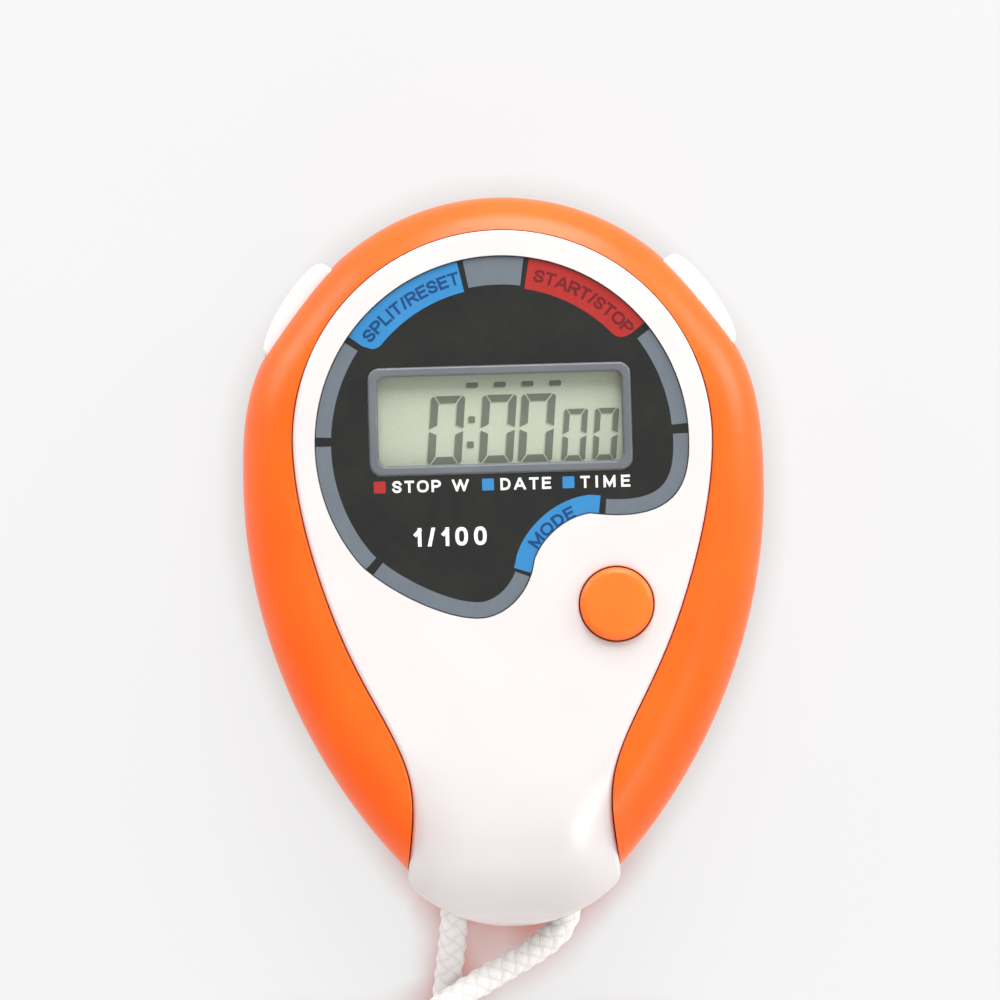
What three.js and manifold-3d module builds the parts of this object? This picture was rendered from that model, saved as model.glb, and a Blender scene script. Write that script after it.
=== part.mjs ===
// Digital sports stopwatch with a wrist lanyard, lying on its back.
// Millimetres. +Z comes out of the face, +Y points to twelve o'clock and +X to the right of the face.
// The origin is on the back face, under the middle of the case. Plan positions (x, y) below are
// measured from the centre of the round dial, and heights from the back face.
import * as THREE from 'three';
import { mergeVertices } from 'three/addons/utils/BufferGeometryUtils.js';
import Module from 'manifold-3d';

const wasm = await Module();
wasm.setup();

const at = (x, y) => new THREE.Vector2(x, y);
const rad = THREE.MathUtils.degToRad;

// ---------------------------------------------------------------- driving dimensions

const DIAL_Y = 13.4; // the dial's centre lies this far above the middle of the case

// Outline of the orange case: a round top, a flat for each side button, and two long curved sides
const TOP_R = 26.6;
const FLAT_START_DEG = 50;
const FLAT_END = at(24.66, 11.5);
const WIDEST = at(28.55, -4.8);
const TIP = at(12.3, -46.2); // each side of the orange case ends here, beside the neck
const TIP_ARC_R = 16.55;

// Outline of the white front panel, which runs down into the neck
const PANEL_R = 22.95;
const PANEL_KNEE = at(17.6, -22.57);
const WAIST = at(10.88, -39.9);
const NECK_END_R = 16.2;
const NECK_END_Y = -53.4;
const NECK_CORNER_DEG = -43.7;

// Heights above the back face
const FLOOR = 1.8; // inside of the rear case
const REAR_TOP = 6.0;
const FRONT_BOTTOM = 6.15;
const LEDGE_BOTTOM = 13.6;
const LEDGE_TOP = 15.2;
const CROWN = 17.0; // top of the orange case
const PANEL_UNDER = 15.4;
const PANEL_TOP = 17.2;
const LABEL_SEAT = 16.65;
const LABEL_TOP = 16.85;
const BEZEL_TOP = 17.05;
const PCB_BOTTOM = 9.0;
const PCB_TOP = 10.6;

const WALL = 1.9;
const GAP = 0.2; // parting line between the orange case and the white panel
const TINY = 0.15; // clearance between pieces that are seated on each other
const PANEL_SKIRT_Y = -36; // below this line the panel grows side walls and becomes the neck

// Display
const LCD = at(-0.18, 2.3);
const BEZEL_SIZE = at(28.8, 11.8);
const VIEW_SIZE = at(26.7, 9.7);
const GLASS_SIZE = at(29.5, 13.5);
const ZEBRA_Y = 6.1;

// Buttons
const MODE = at(12.0, -18.3);
const MODE_R = 4.0;
const SIDE_BUTTON_DEG = 33.5;
const SIDE_BUTTON_Z = 10.0;
const SIDE_BUTTON_LENGTH = 12.0;
const SIDE_BUTTON_HEIGHT = 5.0;
const SIDE_BUTTON_REACH = 28.4; // from the dial's centre to the middle of the button's face

// Fasteners
const CASE_SCREWS = [at(-9, 19), at(9, 19), at(-19.8, -19), at(19.8, -19), at(0, -36.5)];
const PCB_SCREWS = [at(0, 17), at(-13, -12), at(14.5, -10)];

// Power and sound
const BATTERY = at(0, 4);
const BATTERY_R = 5.8;
const BATTERY_HEIGHT = 5.4;
const HATCH_R = 7.8;
const LUG_HALF_DEG = 18;
const UNLOCK_DEG = 60;
const PIEZO = at(0, -19);
const PIEZO_R = 10;
const PIEZO_SPRINGS = [at(0, -17.5), at(7.5, -14.5)];

// Lanyard: a 3 mm cord through the neck, its spare length wound into a coil below the neck
const CORD_R = 1.5;
const POST = at(-0.3, -49.6);
const POST_R = 4.4;
const COIL = at(12.5, -87);
const COIL_INNER_R = 10.5;
const COIL_OUTER_R = 22.5;
const COIL_HEIGHT = 6;
const TIE_DEG = -60;
const KNOT = new THREE.Vector3(-20.2, -66.8, 3.8);
const KNOT_SIZE = new THREE.Vector3(4.8, 4.2, 3.7);

const LEFT_ROUTE = [
  [6.0, -49.3, 3.6], [5.2, -46.4, 3.6], [2.85, -44.15, 3.6], [-0.3, -43.3, 3.6], [-3.45, -44.15, 3.6],
  [-5.8, -46.4, 3.6], [-6.6, -49.5, 3.6], [-6.75, -52.3, 3.5], [-7.1, -55.5, 2.6], [-7.6, -58.8, 1.8],
  [-8.05, -62.4, 1.55], [-8.4, -66.6, 1.55], [-8.5, -71, 1.55], [-8.5, -75, 1.55],
];
const RIGHT_ROUTE = [
  [6.0, -49.9, 3.6], [5.75, -51.8, 3.6], [4.6, -54.1, 3.5], [2.2, -56.0, 3.3], [-0.6, -57.6, 3.4],
  [-3.4, -59.2, 3.9], [-6.0, -60.7, 4.6], [-8.3, -62.2, 4.95], [-11.6, -63.8, 4.4], [-15.0, -64.9, 3.9],
];
const TAIL_ROUTE = [
  [0.5, -66.1, 4.5], [-4.0, -66.4, 4.9], [-8.4, -67.2, 4.95], [-12.0, -68.1, 4.4], [-15.2, -68.7, 3.9],
];

// ---------------------------------------------------------------- looks

const WHITE = { color: 0xfbf9f7, roughness: 0.3, metalness: 0 };
const ORANGE = { color: 0xff7a1e, roughness: 0.4, metalness: 0 };
const BLACK = { color: 0x3a3a38, roughness: 0.5, metalness: 0 };
const GREY = { color: 0x787a7e, roughness: 0.45, metalness: 0 };
const CLEAR = { color: 0xe8efe6, roughness: 0.05, metalness: 0, transparent: true, opacity: 0.3 };
const LCD_GREEN = { color: 0xc6cdb8, roughness: 0.25, metalness: 0 };
const FOIL = { color: 0xb9bfae, roughness: 0.5, metalness: 0.4 };
const RUBBER = { color: 0x44464a, roughness: 0.8, metalness: 0 };
const BOARD = { color: 0x1f6b3a, roughness: 0.45, metalness: 0 };
const EPOXY = { color: 0x151515, roughness: 0.35, metalness: 0 };
const STEEL = { color: 0xb8bcc0, roughness: 0.3, metalness: 0.9 };
const BRASS = { color: 0xc9a24a, roughness: 0.35, metalness: 0.9 };
const CERAMIC = { color: 0xe9e6dd, roughness: 0.5, metalness: 0 };
const CORD = { color: 0xf3f1ee, roughness: 0.85, metalness: 0 };
const TIE_GREY = { color: 0x5b5d61, roughness: 0.6, metalness: 0 };

// ---------------------------------------------------------------- solids, joins and cuts

function signedVolume(position, index) {
  const [a, b, c] = [new THREE.Vector3(), new THREE.Vector3(), new THREE.Vector3()];
  let volume = 0;
  for (let i = 0; i < index.length; i += 3) {
    a.fromBufferAttribute(position, index[i]);
    b.fromBufferAttribute(position, index[i + 1]);
    c.fromBufferAttribute(position, index[i + 2]);
    volume += a.dot(b.cross(c)) / 6;
  }
  return volume;
}

// A closed three.js geometry as a solid whose faces point out
function solid(geometry) {
  const bare = geometry.clone();
  bare.deleteAttribute('normal');
  bare.deleteAttribute('uv');
  const merged = mergeVertices(bare, 1e-4);
  const triangles = [];
  const index = merged.index.array;
  for (let i = 0; i < index.length; i += 3) {
    const [a, b, c] = index.slice(i, i + 3);
    if (a !== b && b !== c && c !== a) triangles.push(a, b, c);
  }
  if (signedVolume(merged.attributes.position, triangles) < 0) triangles.reverse();
  return new wasm.Manifold(new wasm.Mesh({
    numProp: 3,
    vertProperties: new Float32Array(merged.attributes.position.array),
    triVerts: new Uint32Array(triangles),
  }));
}

function surface(body) {
  const { vertProperties, triVerts } = body.getMesh();
  const geometry = new THREE.BufferGeometry();
  geometry.setAttribute('position', new THREE.BufferAttribute(new Float32Array(vertProperties), 3));
  geometry.setIndex(new THREE.BufferAttribute(new Uint32Array(triVerts), 1));
  geometry.computeVertexNormals();
  return geometry;
}

const joined = (...bodies) => bodies.reduce((all, body) => all.add(body));
const cut = (body, ...tools) => tools.reduce((left, tool) => left.subtract(tool), body);

function box(x0, x1, y0, y1, z0, z1) {
  const geometry = new THREE.BoxGeometry(x1 - x0, y1 - y0, z1 - z0);
  return solid(geometry.translate((x0 + x1) / 2, (y0 + y1) / 2, (z0 + z1) / 2));
}

function post(centre, radius, bottom, top, sides = 24) {
  const geometry = new THREE.CylinderGeometry(radius, radius, top - bottom, sides);
  return solid(geometry.rotateX(Math.PI / 2).translate(centre.x, centre.y, (bottom + top) / 2));
}

// A shape turned about a vertical axis. The profile is a list of [radius, height].
function turned(profile, centre, sides = 32) {
  const points = profile.map(([radius, height]) => at(radius, height));
  const geometry = new THREE.LatheGeometry(points, sides);
  return solid(geometry.rotateX(Math.PI / 2).translate(centre.x, centre.y, 0));
}

// A plate on an outline, its edge set in by `inset`. `rise` and `run` round its upper rim, or its
// lower rim where `under` is true.
function plate(points, bottom, top, { inset = 0, rise = 0, run = rise, steps = 5, under = false } = {}) {
  const shape = new THREE.Shape(points);
  const height = top - bottom;
  const geometry = new THREE.ExtrudeGeometry(shape, {
    depth: height,
    bevelEnabled: true,
    bevelThickness: rise,
    bevelSize: run,
    bevelOffset: -run - inset,
    bevelSegments: rise > 0 ? steps : 0,
  });
  if (rise === 0) return solid(geometry.translate(0, 0, bottom));
  const body = solid(geometry.translate(0, 0, under ? bottom + rise : bottom - rise));
  const reach = 100;
  return body.intersect(box(-reach, reach, -reach, reach, bottom, top));
}

function chain(...curves) {
  const points = [];
  for (const curve of curves) {
    for (const point of curve) {
      const last = points[points.length - 1];
      if (!last || last.distanceTo(point) > 1e-3) points.push(point);
    }
  }
  return points;
}

const arc = (centre, radius, fromDeg, toDeg, steps) => new THREE.EllipseCurve(
  centre.x, centre.y, radius, radius, rad(fromDeg), rad(toDeg), toDeg < fromDeg,
).getPoints(steps);

const bend = (a, b, c, d, steps) => new THREE.CubicBezierCurve(a, b, c, d).getPoints(steps);

// The right half of an outline, from its top to its bottom, closed by its own mirror image
function mirrored(half) {
  const left = half.slice(1, -1).reverse().map((point) => at(-point.x, point.y));
  return [...half, ...left];
}

function roundedRectangle(centre, size, radius, steps = 4) {
  const dx = size.x / 2 - radius;
  const dy = size.y / 2 - radius;
  return chain(
    arc(at(centre.x + dx, centre.y + dy), radius, 0, 90, steps),
    arc(at(centre.x - dx, centre.y + dy), radius, 90, 180, steps),
    arc(at(centre.x - dx, centre.y - dy), radius, 180, 270, steps),
    arc(at(centre.x + dx, centre.y - dy), radius, 270, 360, steps),
  );
}

const grown = (size, by) => at(size.x + 2 * by, size.y + 2 * by);

// ---------------------------------------------------------------- outlines

function caseSide() {
  return chain(
    arc(at(0, 0), TOP_R, 90, FLAT_START_DEG, 6),
    bend(
      at(TOP_R * Math.cos(rad(FLAT_START_DEG)), TOP_R * Math.sin(rad(FLAT_START_DEG))),
      at(19.4, 18.4), at(22.2, 14.9), FLAT_END, 3,
    ),
    bend(FLAT_END, at(28.32, 6.79), at(28.55, 0.82), WIDEST, 5),
    bend(WIDEST, at(28.55, -19.81), at(22.52, -34.87), TIP, 9),
  );
}

// The orange case, closed below its tips by an arc that the neck covers
function caseOutline() {
  const lowest = at(0, TIP.y + TIP_ARC_R * Math.cos(rad(48)));
  return mirrored(chain(caseSide(), arc(lowest, TIP_ARC_R, -42, -90, 5)));
}

const neckEnd = () => arc(at(0, NECK_END_Y + NECK_END_R), NECK_END_R, NECK_CORNER_DEG, -90, 7);

function rearOutline() {
  return mirrored(chain(caseSide(), neckEnd()));
}

function panelOutline() {
  return mirrored(chain(
    arc(at(0, 0), PANEL_R, 90, 0, 12),
    bend(at(PANEL_R, 0), at(PANEL_R, -7.98), at(19.68, -17.72), PANEL_KNEE, 6),
    bend(PANEL_KNEE, at(14.37, -30.12), at(10.88, -33.92), WAIST, 7),
    bend(WAIST, at(10.88, -42.6), at(11.5, -45.68), neckEnd()[0], 3),
    neckEnd(),
  ));
}

// The printed label: round over the top, a lobe at lower left, and a bay round the mode button
function labelOutline() {
  const round = at(-0.06, -0.31);
  const roundR = 20.45;
  const side = at(round.x + roundR, round.y);
  const lowerLeft = at(round.x + roundR * Math.cos(rad(218)), round.y + roundR * Math.sin(rad(218)));
  const lowest = at(-3.0, -19.45);
  const bayLow = at(3.11, -13.32);
  const bayHigh = at(9.46, -8.27);
  return chain(
    arc(round, roundR, 0, 218, 30),
    bend(lowerLeft, at(-14.35, -15.2), at(-7.6, -19.45), lowest, 7),
    bend(lowest, at(-0.35, -19.45), at(2.6, -16.98), bayLow, 7),
    bend(bayLow, at(3.8, -11.2), at(6.3, -8.6), bayHigh, 6),
    bend(bayHigh, at(19.8, -9.9), at(20.4, -4.3), side, 9),
  );
}

// ---------------------------------------------------------------- shells

// A bar that runs the whole width of the case, cut to a side view drawn in (y, z)
function sideView(points) {
  const geometry = new THREE.ExtrudeGeometry(new THREE.Shape(points), { depth: 80, bevelEnabled: false });
  const across = new THREE.Matrix4().makeBasis(
    new THREE.Vector3(0, 1, 0), new THREE.Vector3(0, 0, 1), new THREE.Vector3(1, 0, 0),
  );
  return solid(geometry.applyMatrix4(across).translate(-40, 0, 0));
}

// Everything under the face and the nose of the neck, `inside` millimetres below the surface
function underNeckSurface(inside) {
  const crest = bend(
    at(-34.5, PANEL_TOP - inside), at(-43, PANEL_TOP - inside),
    at(NECK_END_Y + inside, 16.2 - inside), at(NECK_END_Y + inside, 7.6), 10,
  );
  return sideView(chain([at(30, PANEL_TOP - inside)], crest, [at(NECK_END_Y + inside, 0), at(30, 0)]));
}

function sideButtonOpening(deg) {
  const clearance = 0.3;
  const halfLength = SIDE_BUTTON_LENGTH / 2 + clearance;
  const halfHeight = SIDE_BUTTON_HEIGHT / 2 + clearance;
  const opening = new THREE.BoxGeometry(10, 2 * halfLength, 2 * halfHeight);
  opening.translate(27, 0, SIDE_BUTTON_Z).rotateZ(rad(deg));
  return solid(opening);
}

function makeFrontCase() {
  const outside = plate(caseOutline(), FRONT_BOTTOM, CROWN, { rise: 5.5, run: 6, steps: 6 });
  const inside = plate(caseOutline(), 0, LEDGE_BOTTOM, { inset: WALL });
  const panelSeat = plate(panelOutline(), LEDGE_TOP, 20, { inset: -GAP });
  const windowInLedge = plate(panelOutline(), 0, 20, { inset: 1.4 });
  const neckGap = plate(panelOutline(), 0, 20, { inset: -GAP })
    .intersect(box(-20, 20, -60, PANEL_SKIRT_Y + 1, 0, 20));
  const belowTips = box(-20, 20, -60, TIP.y, 0, 20);
  const shell = cut(outside, inside, panelSeat, windowInLedge, neckGap, belowTips);
  const bosses = CASE_SCREWS.slice(0, 4).map((screw) => post(screw, 2.5, FRONT_BOTTOM + TINY, LEDGE_TOP, 16));
  const pilots = CASE_SCREWS.slice(0, 4).map((screw) => post(screw, 1.15, 0, 12.4, 10));
  const openings = [SIDE_BUTTON_DEG, 180 - SIDE_BUTTON_DEG].map(sideButtonOpening);
  return cut(joined(shell, ...bosses), ...pilots, ...openings);
}

function makeFrontPanel() {
  const outside = plate(panelOutline(), FRONT_BOTTOM, PANEL_TOP, { rise: 0.5, steps: 3 })
    .intersect(underNeckSurface(0));
  const underFace = box(-40, 40, PANEL_SKIRT_Y, 40, 0, PANEL_UNDER);
  const insideNeck = plate(panelOutline(), 0, PANEL_UNDER, { inset: WALL })
    .intersect(underNeckSurface(WALL))
    .intersect(box(-40, 40, -60, PANEL_SKIRT_Y + 1, 0, PANEL_UNDER));
  const labelSeat = plate(labelOutline(), LABEL_SEAT, 20, { inset: -TINY });
  const displayHole = plate(roundedRectangle(LCD, grown(BEZEL_SIZE, 0.3), 1.6), 0, 20);
  const modeHole = post(MODE, MODE_R + 0.2, 0, 20, 48);
  const boardPosts = PCB_SCREWS.map((screw) => post(screw, 2.2, PCB_TOP + TINY, PANEL_UNDER + 0.1, 16));
  const boardPilots = PCB_SCREWS.map((screw) => post(screw, 1.05, 0, 14.6, 10));
  const neckBoss = post(CASE_SCREWS[4], 2.5, FRONT_BOTTOM + TINY, PANEL_UNDER + 0.1, 16);
  const neckPilot = post(CASE_SCREWS[4], 1.15, 0, 12.4, 10);
  const shell = cut(outside, underFace, insideNeck, labelSeat, displayHole, modeHole);
  return cut(joined(shell, ...boardPosts, neckBoss), ...boardPilots, neckPilot);
}

function sector(centre, innerR, outerR, middleDeg, halfDeg, bottom, top) {
  const outer = arc(centre, outerR, middleDeg - halfDeg, middleDeg + halfDeg, 6);
  const inner = arc(centre, innerR, middleDeg + halfDeg, middleDeg - halfDeg, 6);
  return plate([...outer, ...inner], bottom, top);
}

function makeRearCase() {
  const inset = 0.3;
  const outside = plate(rearOutline(), 0, REAR_TOP, { inset, rise: 2.5, steps: 4, under: true });
  const inside = plate(rearOutline(), FLOOR, 20, { inset: inset + WALL - 0.2, rise: 1.5, steps: 2, under: true });
  const posts = CASE_SCREWS.map((screw) => post(screw, 3, FLOOR - 0.5, REAR_TOP, 16));
  const headSeats = CASE_SCREWS.map((screw) => post(screw, 2.2, -1, 2.4, 16));
  const screwHoles = CASE_SCREWS.map((screw) => post(screw, 1.25, -1, 20, 10));
  const buzzerRib = post(PIEZO, PIEZO_R + 1.2, FLOOR - 0.5, 3.2, 28);
  const buzzerSeat = post(PIEZO, PIEZO_R + 0.4, FLOOR, 20, 28);
  const soundHoles = [0, 60, 120, 180, 240, 300].map((deg) => (
    post(at(PIEZO.x + 3 * Math.cos(rad(deg)), PIEZO.y + 3 * Math.sin(rad(deg))), 0.75, -1, 20, 8)
  ));
  const middleSoundHole = post(PIEZO, 0.75, -1, 20, 8);
  const hatch = post(BATTERY, HATCH_R, -1, 20, 36);
  const lugNotches = [-UNLOCK_DEG, 180 - UNLOCK_DEG].map((deg) => (
    sector(BATTERY, HATCH_R - 0.5, HATCH_R + 0.95, deg, LUG_HALF_DEG + 4, -1, 20)
  ));
  const cordPost = joined(
    post(POST, POST_R, FLOOR - 0.5, REAR_TOP, 32),
    box(POST.x - 3.6, POST.x + 3.0, NECK_END_Y + 1.2, POST.y, FLOOR - 0.5, REAR_TOP),
  ).intersect(plate(rearOutline(), 0, 20, { inset: inset + 0.5 }));
  const cordNotches = [box(-9.0, -4.5, -60, -48.8, FLOOR - 0.2, 20), box(3.1, 8.2, -60, -48.8, FLOOR - 0.2, 20)];
  const shell = joined(cut(outside, inside), ...posts, buzzerRib.subtract(buzzerSeat), cordPost);
  return cut(shell, ...headSeats, ...screwHoles, ...soundHoles, middleSoundHole, hatch, ...lugNotches, ...cordNotches);
}

// ---------------------------------------------------------------- face and display

function makeLabel() {
  const sheet = plate(labelOutline(), LABEL_SEAT + 0.02, LABEL_TOP);
  return sheet.subtract(plate(roundedRectangle(LCD, grown(BEZEL_SIZE, 0.2), 1.5), 0, 20));
}

function makeBezel() {
  const frame = plate(roundedRectangle(LCD, BEZEL_SIZE, 1.3), PANEL_UNDER + 0.1, BEZEL_TOP, { rise: 0.25, steps: 2 });
  const view = plate(roundedRectangle(LCD, VIEW_SIZE, 0.8), 0, 20);
  const windowSeat = plate(roundedRectangle(LCD, grown(VIEW_SIZE, 0.5), 0.8), 0, 16.2);
  return cut(frame, view, windowSeat);
}

const makeWindow = () => plate(roundedRectangle(LCD, grown(VIEW_SIZE, 0.3), 0.6), PANEL_UNDER + 0.1, 16.1);

function displaySlab(size, bottom, top) {
  return box(LCD.x - size.x / 2, LCD.x + size.x / 2, LCD.y - size.y / 2, LCD.y + size.y / 2, bottom, top);
}

function makeDisplayHolder() {
  const outside = displaySlab(grown(GLASS_SIZE, 1.5), PCB_TOP + 0.05, LEDGE_TOP)
    .intersect(post(at(0, 0), 19.2, 0, 20, 48));
  return outside.subtract(displaySlab(grown(GLASS_SIZE, 0.2), 0, 20));
}

function makeZebraStrip(offset) {
  const y = LCD.y + offset;
  return box(LCD.x - 13.5, LCD.x + 13.5, y - 0.55, y + 0.55, PCB_TOP + 0.05, 12.95);
}

// ---------------------------------------------------------------- circuit board

function makeBoard() {
  const disc = post(at(0, 0), 19.5, PCB_BOTTOM, PCB_TOP, 44);
  const tongue = plate(roundedRectangle(at(9.2, -16), at(14, 16), 2.5, 3), PCB_BOTTOM, PCB_TOP);
  const screwHoles = PCB_SCREWS.map((screw) => post(screw, 1.15, 0, 20, 12));
  const bossNotches = CASE_SCREWS.slice(0, 2).map((screw) => post(screw, 2.9, 0, 20));
  return cut(disc.add(tongue), ...screwHoles, ...bossNotches);
}

const makeChipBlob = () => turned([[0, PCB_TOP + 0.05], [4.5, PCB_TOP + 0.05], [4.2, 11.1], [3.2, 11.6], [1.6, 11.85], [0, 11.9]], LCD, 28);

function makeCrystal() {
  const can = new THREE.CylinderGeometry(1, 1, 6, 16);
  return solid(can.translate(-13.5, 4, PCB_BOTTOM - 1.15));
}

const makeChipPart = (centre, size) => box(
  centre.x - size.x / 2, centre.x + size.x / 2, centre.y - size.y / 2, centre.y + size.y / 2,
  PCB_BOTTOM - 0.75, PCB_BOTTOM - 0.05,
);

// ---------------------------------------------------------------- power and sound

class Helix extends THREE.Curve {
  constructor(centre, radius, bottom, top, turns) {
    super();
    Object.assign(this, { centre, radius, bottom, top, turns });
  }

  getPoint(t) {
    const angle = t * this.turns * 2 * Math.PI;
    return new THREE.Vector3(
      this.centre.x + this.radius * Math.cos(angle),
      this.centre.y + this.radius * Math.sin(angle),
      this.bottom + (this.top - this.bottom) * t,
    );
  }
}

function tube(path, radius, sides, steps) {
  const section = new THREE.Shape(arc(at(0, 0), radius, 0, 360, sides).slice(0, -1));
  return solid(new THREE.ExtrudeGeometry(section, { extrudePath: path, steps, bevelEnabled: false }));
}

const makeBuzzerSpring = (centre, bottom) => (
  tube(new Helix(centre, 1.2, bottom + 0.3, PCB_BOTTOM - 0.35, 4), 0.22, 5, 32)
);

function makeBatteryHolder() {
  const ring = post(BATTERY, 7.6, 3.3, PCB_BOTTOM - TINY, 40);
  const well = post(BATTERY, BATTERY_R + 0.3, 0, 20, 40);
  const clipSlot = box(BATTERY.x - 9, BATTERY.x - 5, BATTERY.y - 2, BATTERY.y + 2, 0, 20);
  return cut(ring, well, clipSlot);
}

// A strip that runs down the can of the battery and turns out under the board
function makePositiveContact() {
  const blade = box(BATTERY.x - 6.35, BATTERY.x - 6.05, BATTERY.y - 1.5, BATTERY.y + 1.5, 4, PCB_BOTTOM - 0.3);
  const foot = box(BATTERY.x - 9.5, BATTERY.x - 6.05, BATTERY.y - 1.5, BATTERY.y + 1.5, PCB_BOTTOM - 0.35, PCB_BOTTOM - 0.05);
  return blade.add(foot);
}

const makeNegativeContact = () => turned([
  [0, 8.55], [1.2, 8.55], [3.2, 8.75], [4.2, 8.75], [4.2, 8.95], [3.1, 8.95], [1.1, 8.75], [0, 8.75],
], BATTERY, 20);

function makeBatteryCell() {
  const bottom = 3.0;
  const top = bottom + BATTERY_HEIGHT;
  return turned([
    [0, bottom], [BATTERY_R - 0.3, bottom], [BATTERY_R, bottom + 0.3], [BATTERY_R, top - 0.9],
    [BATTERY_R - 0.5, top - 0.4], [4.6, top - 0.35], [4.4, top], [0, top],
  ], BATTERY, 28);
}

function makeBatteryCover() {
  const disc = turned([
    [0, 0.25], [7.2, 0.25], [7.5, 0.5], [7.5, 0.75], [6.85, 0.75], [6.85, 1.45], [7.5, 1.45], [7.5, 1.8],
    [7.2, 1.8], [7.2, 2.75], [0, 2.75],
  ], BATTERY, 32);
  const lugs = [0, 180].map((deg) => sector(BATTERY, 6.5, 8.45, deg, LUG_HALF_DEG, FLOOR + 0.2, 2.75));
  const coinSlot = box(BATTERY.x - 5.2, BATTERY.x + 5.2, BATTERY.y - 0.8, BATTERY.y + 0.8, 0, 1.1);
  return cut(joined(disc, ...lugs), coinSlot);
}

function makeCoverSeal() {
  return solid(new THREE.TorusGeometry(7.28, 0.3, 6, 28).translate(BATTERY.x, BATTERY.y, 1.1));
}

const makePiezoDisc = () => post(PIEZO, PIEZO_R, FLOOR + TINY, 2.25, 40);
const makePiezoCeramic = () => post(PIEZO, 7, 2.3, 2.5, 32);

// ---------------------------------------------------------------- buttons

// Drawn in the button's own frame: +X points out of the case, Y runs along its edge
function makeSideButton() {
  const half = SIDE_BUTTON_LENGTH / 2;
  const cornerX = SIDE_BUTTON_REACH - 0.9;
  const face = bend(
    at(cornerX, -half + 0.5), at(SIDE_BUTTON_REACH + 0.3, -half / 2), at(SIDE_BUTTON_REACH + 0.3, half / 2),
    at(cornerX, half - 0.5), 8,
  );
  const plan = chain([at(23.5, -half), at(cornerX - 0.5, -half)], face, [at(cornerX - 0.5, half), at(23.5, half)]);
  const edge = 0.5;
  const cap = new THREE.ExtrudeGeometry(new THREE.Shape(plan), {
    depth: SIDE_BUTTON_HEIGHT - 2 * edge,
    bevelEnabled: true,
    bevelThickness: edge,
    bevelSize: edge,
    bevelOffset: -edge,
    bevelSegments: 3,
  }).translate(0, 0, SIDE_BUTTON_Z - SIDE_BUTTON_HEIGHT / 2 + edge);
  const flange = box(22.7, 23.5, -half - 0.8, half + 0.8, SIDE_BUTTON_Z - 3.3, SIDE_BUTTON_Z + 3.3);
  const bridge = box(23.4, 25, -half + 0.8, half - 0.8, SIDE_BUTTON_Z - 1.8, SIDE_BUTTON_Z + 1.8);
  const stem = box(21.8, 23, -1.5, 1.5, SIDE_BUTTON_Z - 1.2, SIDE_BUTTON_Z + 1.2);
  return joined(solid(cap), flange, bridge, stem);
}

// A bowed strip of spring steel at the board's edge, on two feet soldered to the board
function makeLeafSpring() {
  const thick = 0.25;
  const rest = 20.0;
  const bow = 1.4;
  const half = 5.5;
  const inner = bend(at(rest, -half), at(rest + bow * 1.33, -half / 3), at(rest + bow * 1.33, half / 3), at(rest, half), 12);
  const outer = inner.map((point) => at(point.x + thick, point.y)).reverse();
  const strip = plate([...inner, ...outer], SIDE_BUTTON_Z - 1.3, SIDE_BUTTON_Z + 1.3);
  const feet = [-1, 1].map((side) => (
    box(17.4, rest + thick, side * half - 0.5, side * half + 0.5, PCB_TOP + 0.1, SIDE_BUTTON_Z + 1.3)
  ));
  return joined(strip, ...feet);
}

const makeModeButton = () => turned([
  [0, 12.6], [1.5, 12.6], [1.5, 14.2], [5.2, 14.2], [5.2, 15.1], [MODE_R, 15.1], [MODE_R, 17.55],
  [MODE_R - 0.15, 17.85], [MODE_R - 0.6, 18.1], [2.2, 18.3], [0, 18.4],
], MODE, 36);

const makeModeDome = () => turned([
  [0, PCB_TOP + 0.1], [3.4, PCB_TOP + 0.1], [3.4, 11.1], [2.4, 11.3], [1.9, 12.1], [1.5, 12.35], [0, 12.35],
], MODE, 24);

// ---------------------------------------------------------------- fasteners

// A pan-head screw with its head down. The driver recess is a cross.
function makeScrew(centre, headBottom, headR, headHeight, shankR, tip) {
  const seat = headBottom + headHeight;
  const body = turned([
    [0, headBottom], [headR * 0.75, headBottom], [headR, headBottom + headHeight * 0.45], [headR, seat],
    [shankR, seat], [shankR, tip - shankR], [0, tip],
  ], centre, 14);
  const arm = headR * 0.55;
  const half = headR * 0.13;
  const depth = headBottom + headHeight * 0.55;
  const cross = joined(
    box(centre.x - arm, centre.x + arm, centre.y - half, centre.y + half, headBottom - 1, depth),
    box(centre.x - half, centre.x + half, centre.y - arm, centre.y + arm, headBottom - 1, depth),
  );
  return body.subtract(cross);
}

// ---------------------------------------------------------------- lanyard

function strand(route) {
  const path = new THREE.CatmullRomCurve3(route.map(([x, y, z]) => new THREE.Vector3(x, y, z)));
  return tube(path, CORD_R, 8, route.length + 2);
}

function tieFrame(body) {
  return body.rotateZ(rad(TIE_DEG)).translate(COIL.x, COIL.y, 0);
}

function makeCoil() {
  const soft = 1.2;
  const ring = turned([
    [COIL_INNER_R, soft], [COIL_INNER_R + soft, 0], [COIL_OUTER_R - soft, 0], [COIL_OUTER_R, soft],
    [COIL_OUTER_R, COIL_HEIGHT - soft], [COIL_OUTER_R - soft, COIL_HEIGHT],
    [COIL_INNER_R + soft, COIL_HEIGHT], [COIL_INNER_R, COIL_HEIGHT - soft], [COIL_INNER_R, soft],
  ], COIL, 40);
  const notch = new THREE.BoxGeometry(16, 5, 2).translate(16.5, 0, -0.1);
  return ring.subtract(solid(tieFrame(notch)));
}

function makeTie() {
  const middle = at((COIL_INNER_R + COIL_OUTER_R) / 2, 3.5);
  const hole = at(COIL_OUTER_R - COIL_INNER_R + 0.6, 5.8);
  const band = new THREE.Shape(roundedRectangle(middle, grown(hole, 0.5), 1.2));
  band.holes.push(new THREE.Path(roundedRectangle(middle, hole, 0.9)));
  const geometry = new THREE.ExtrudeGeometry(band, { depth: 4, bevelEnabled: false });
  return solid(tieFrame(geometry.translate(0, 0, -2).rotateX(Math.PI / 2)));
}

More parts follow.
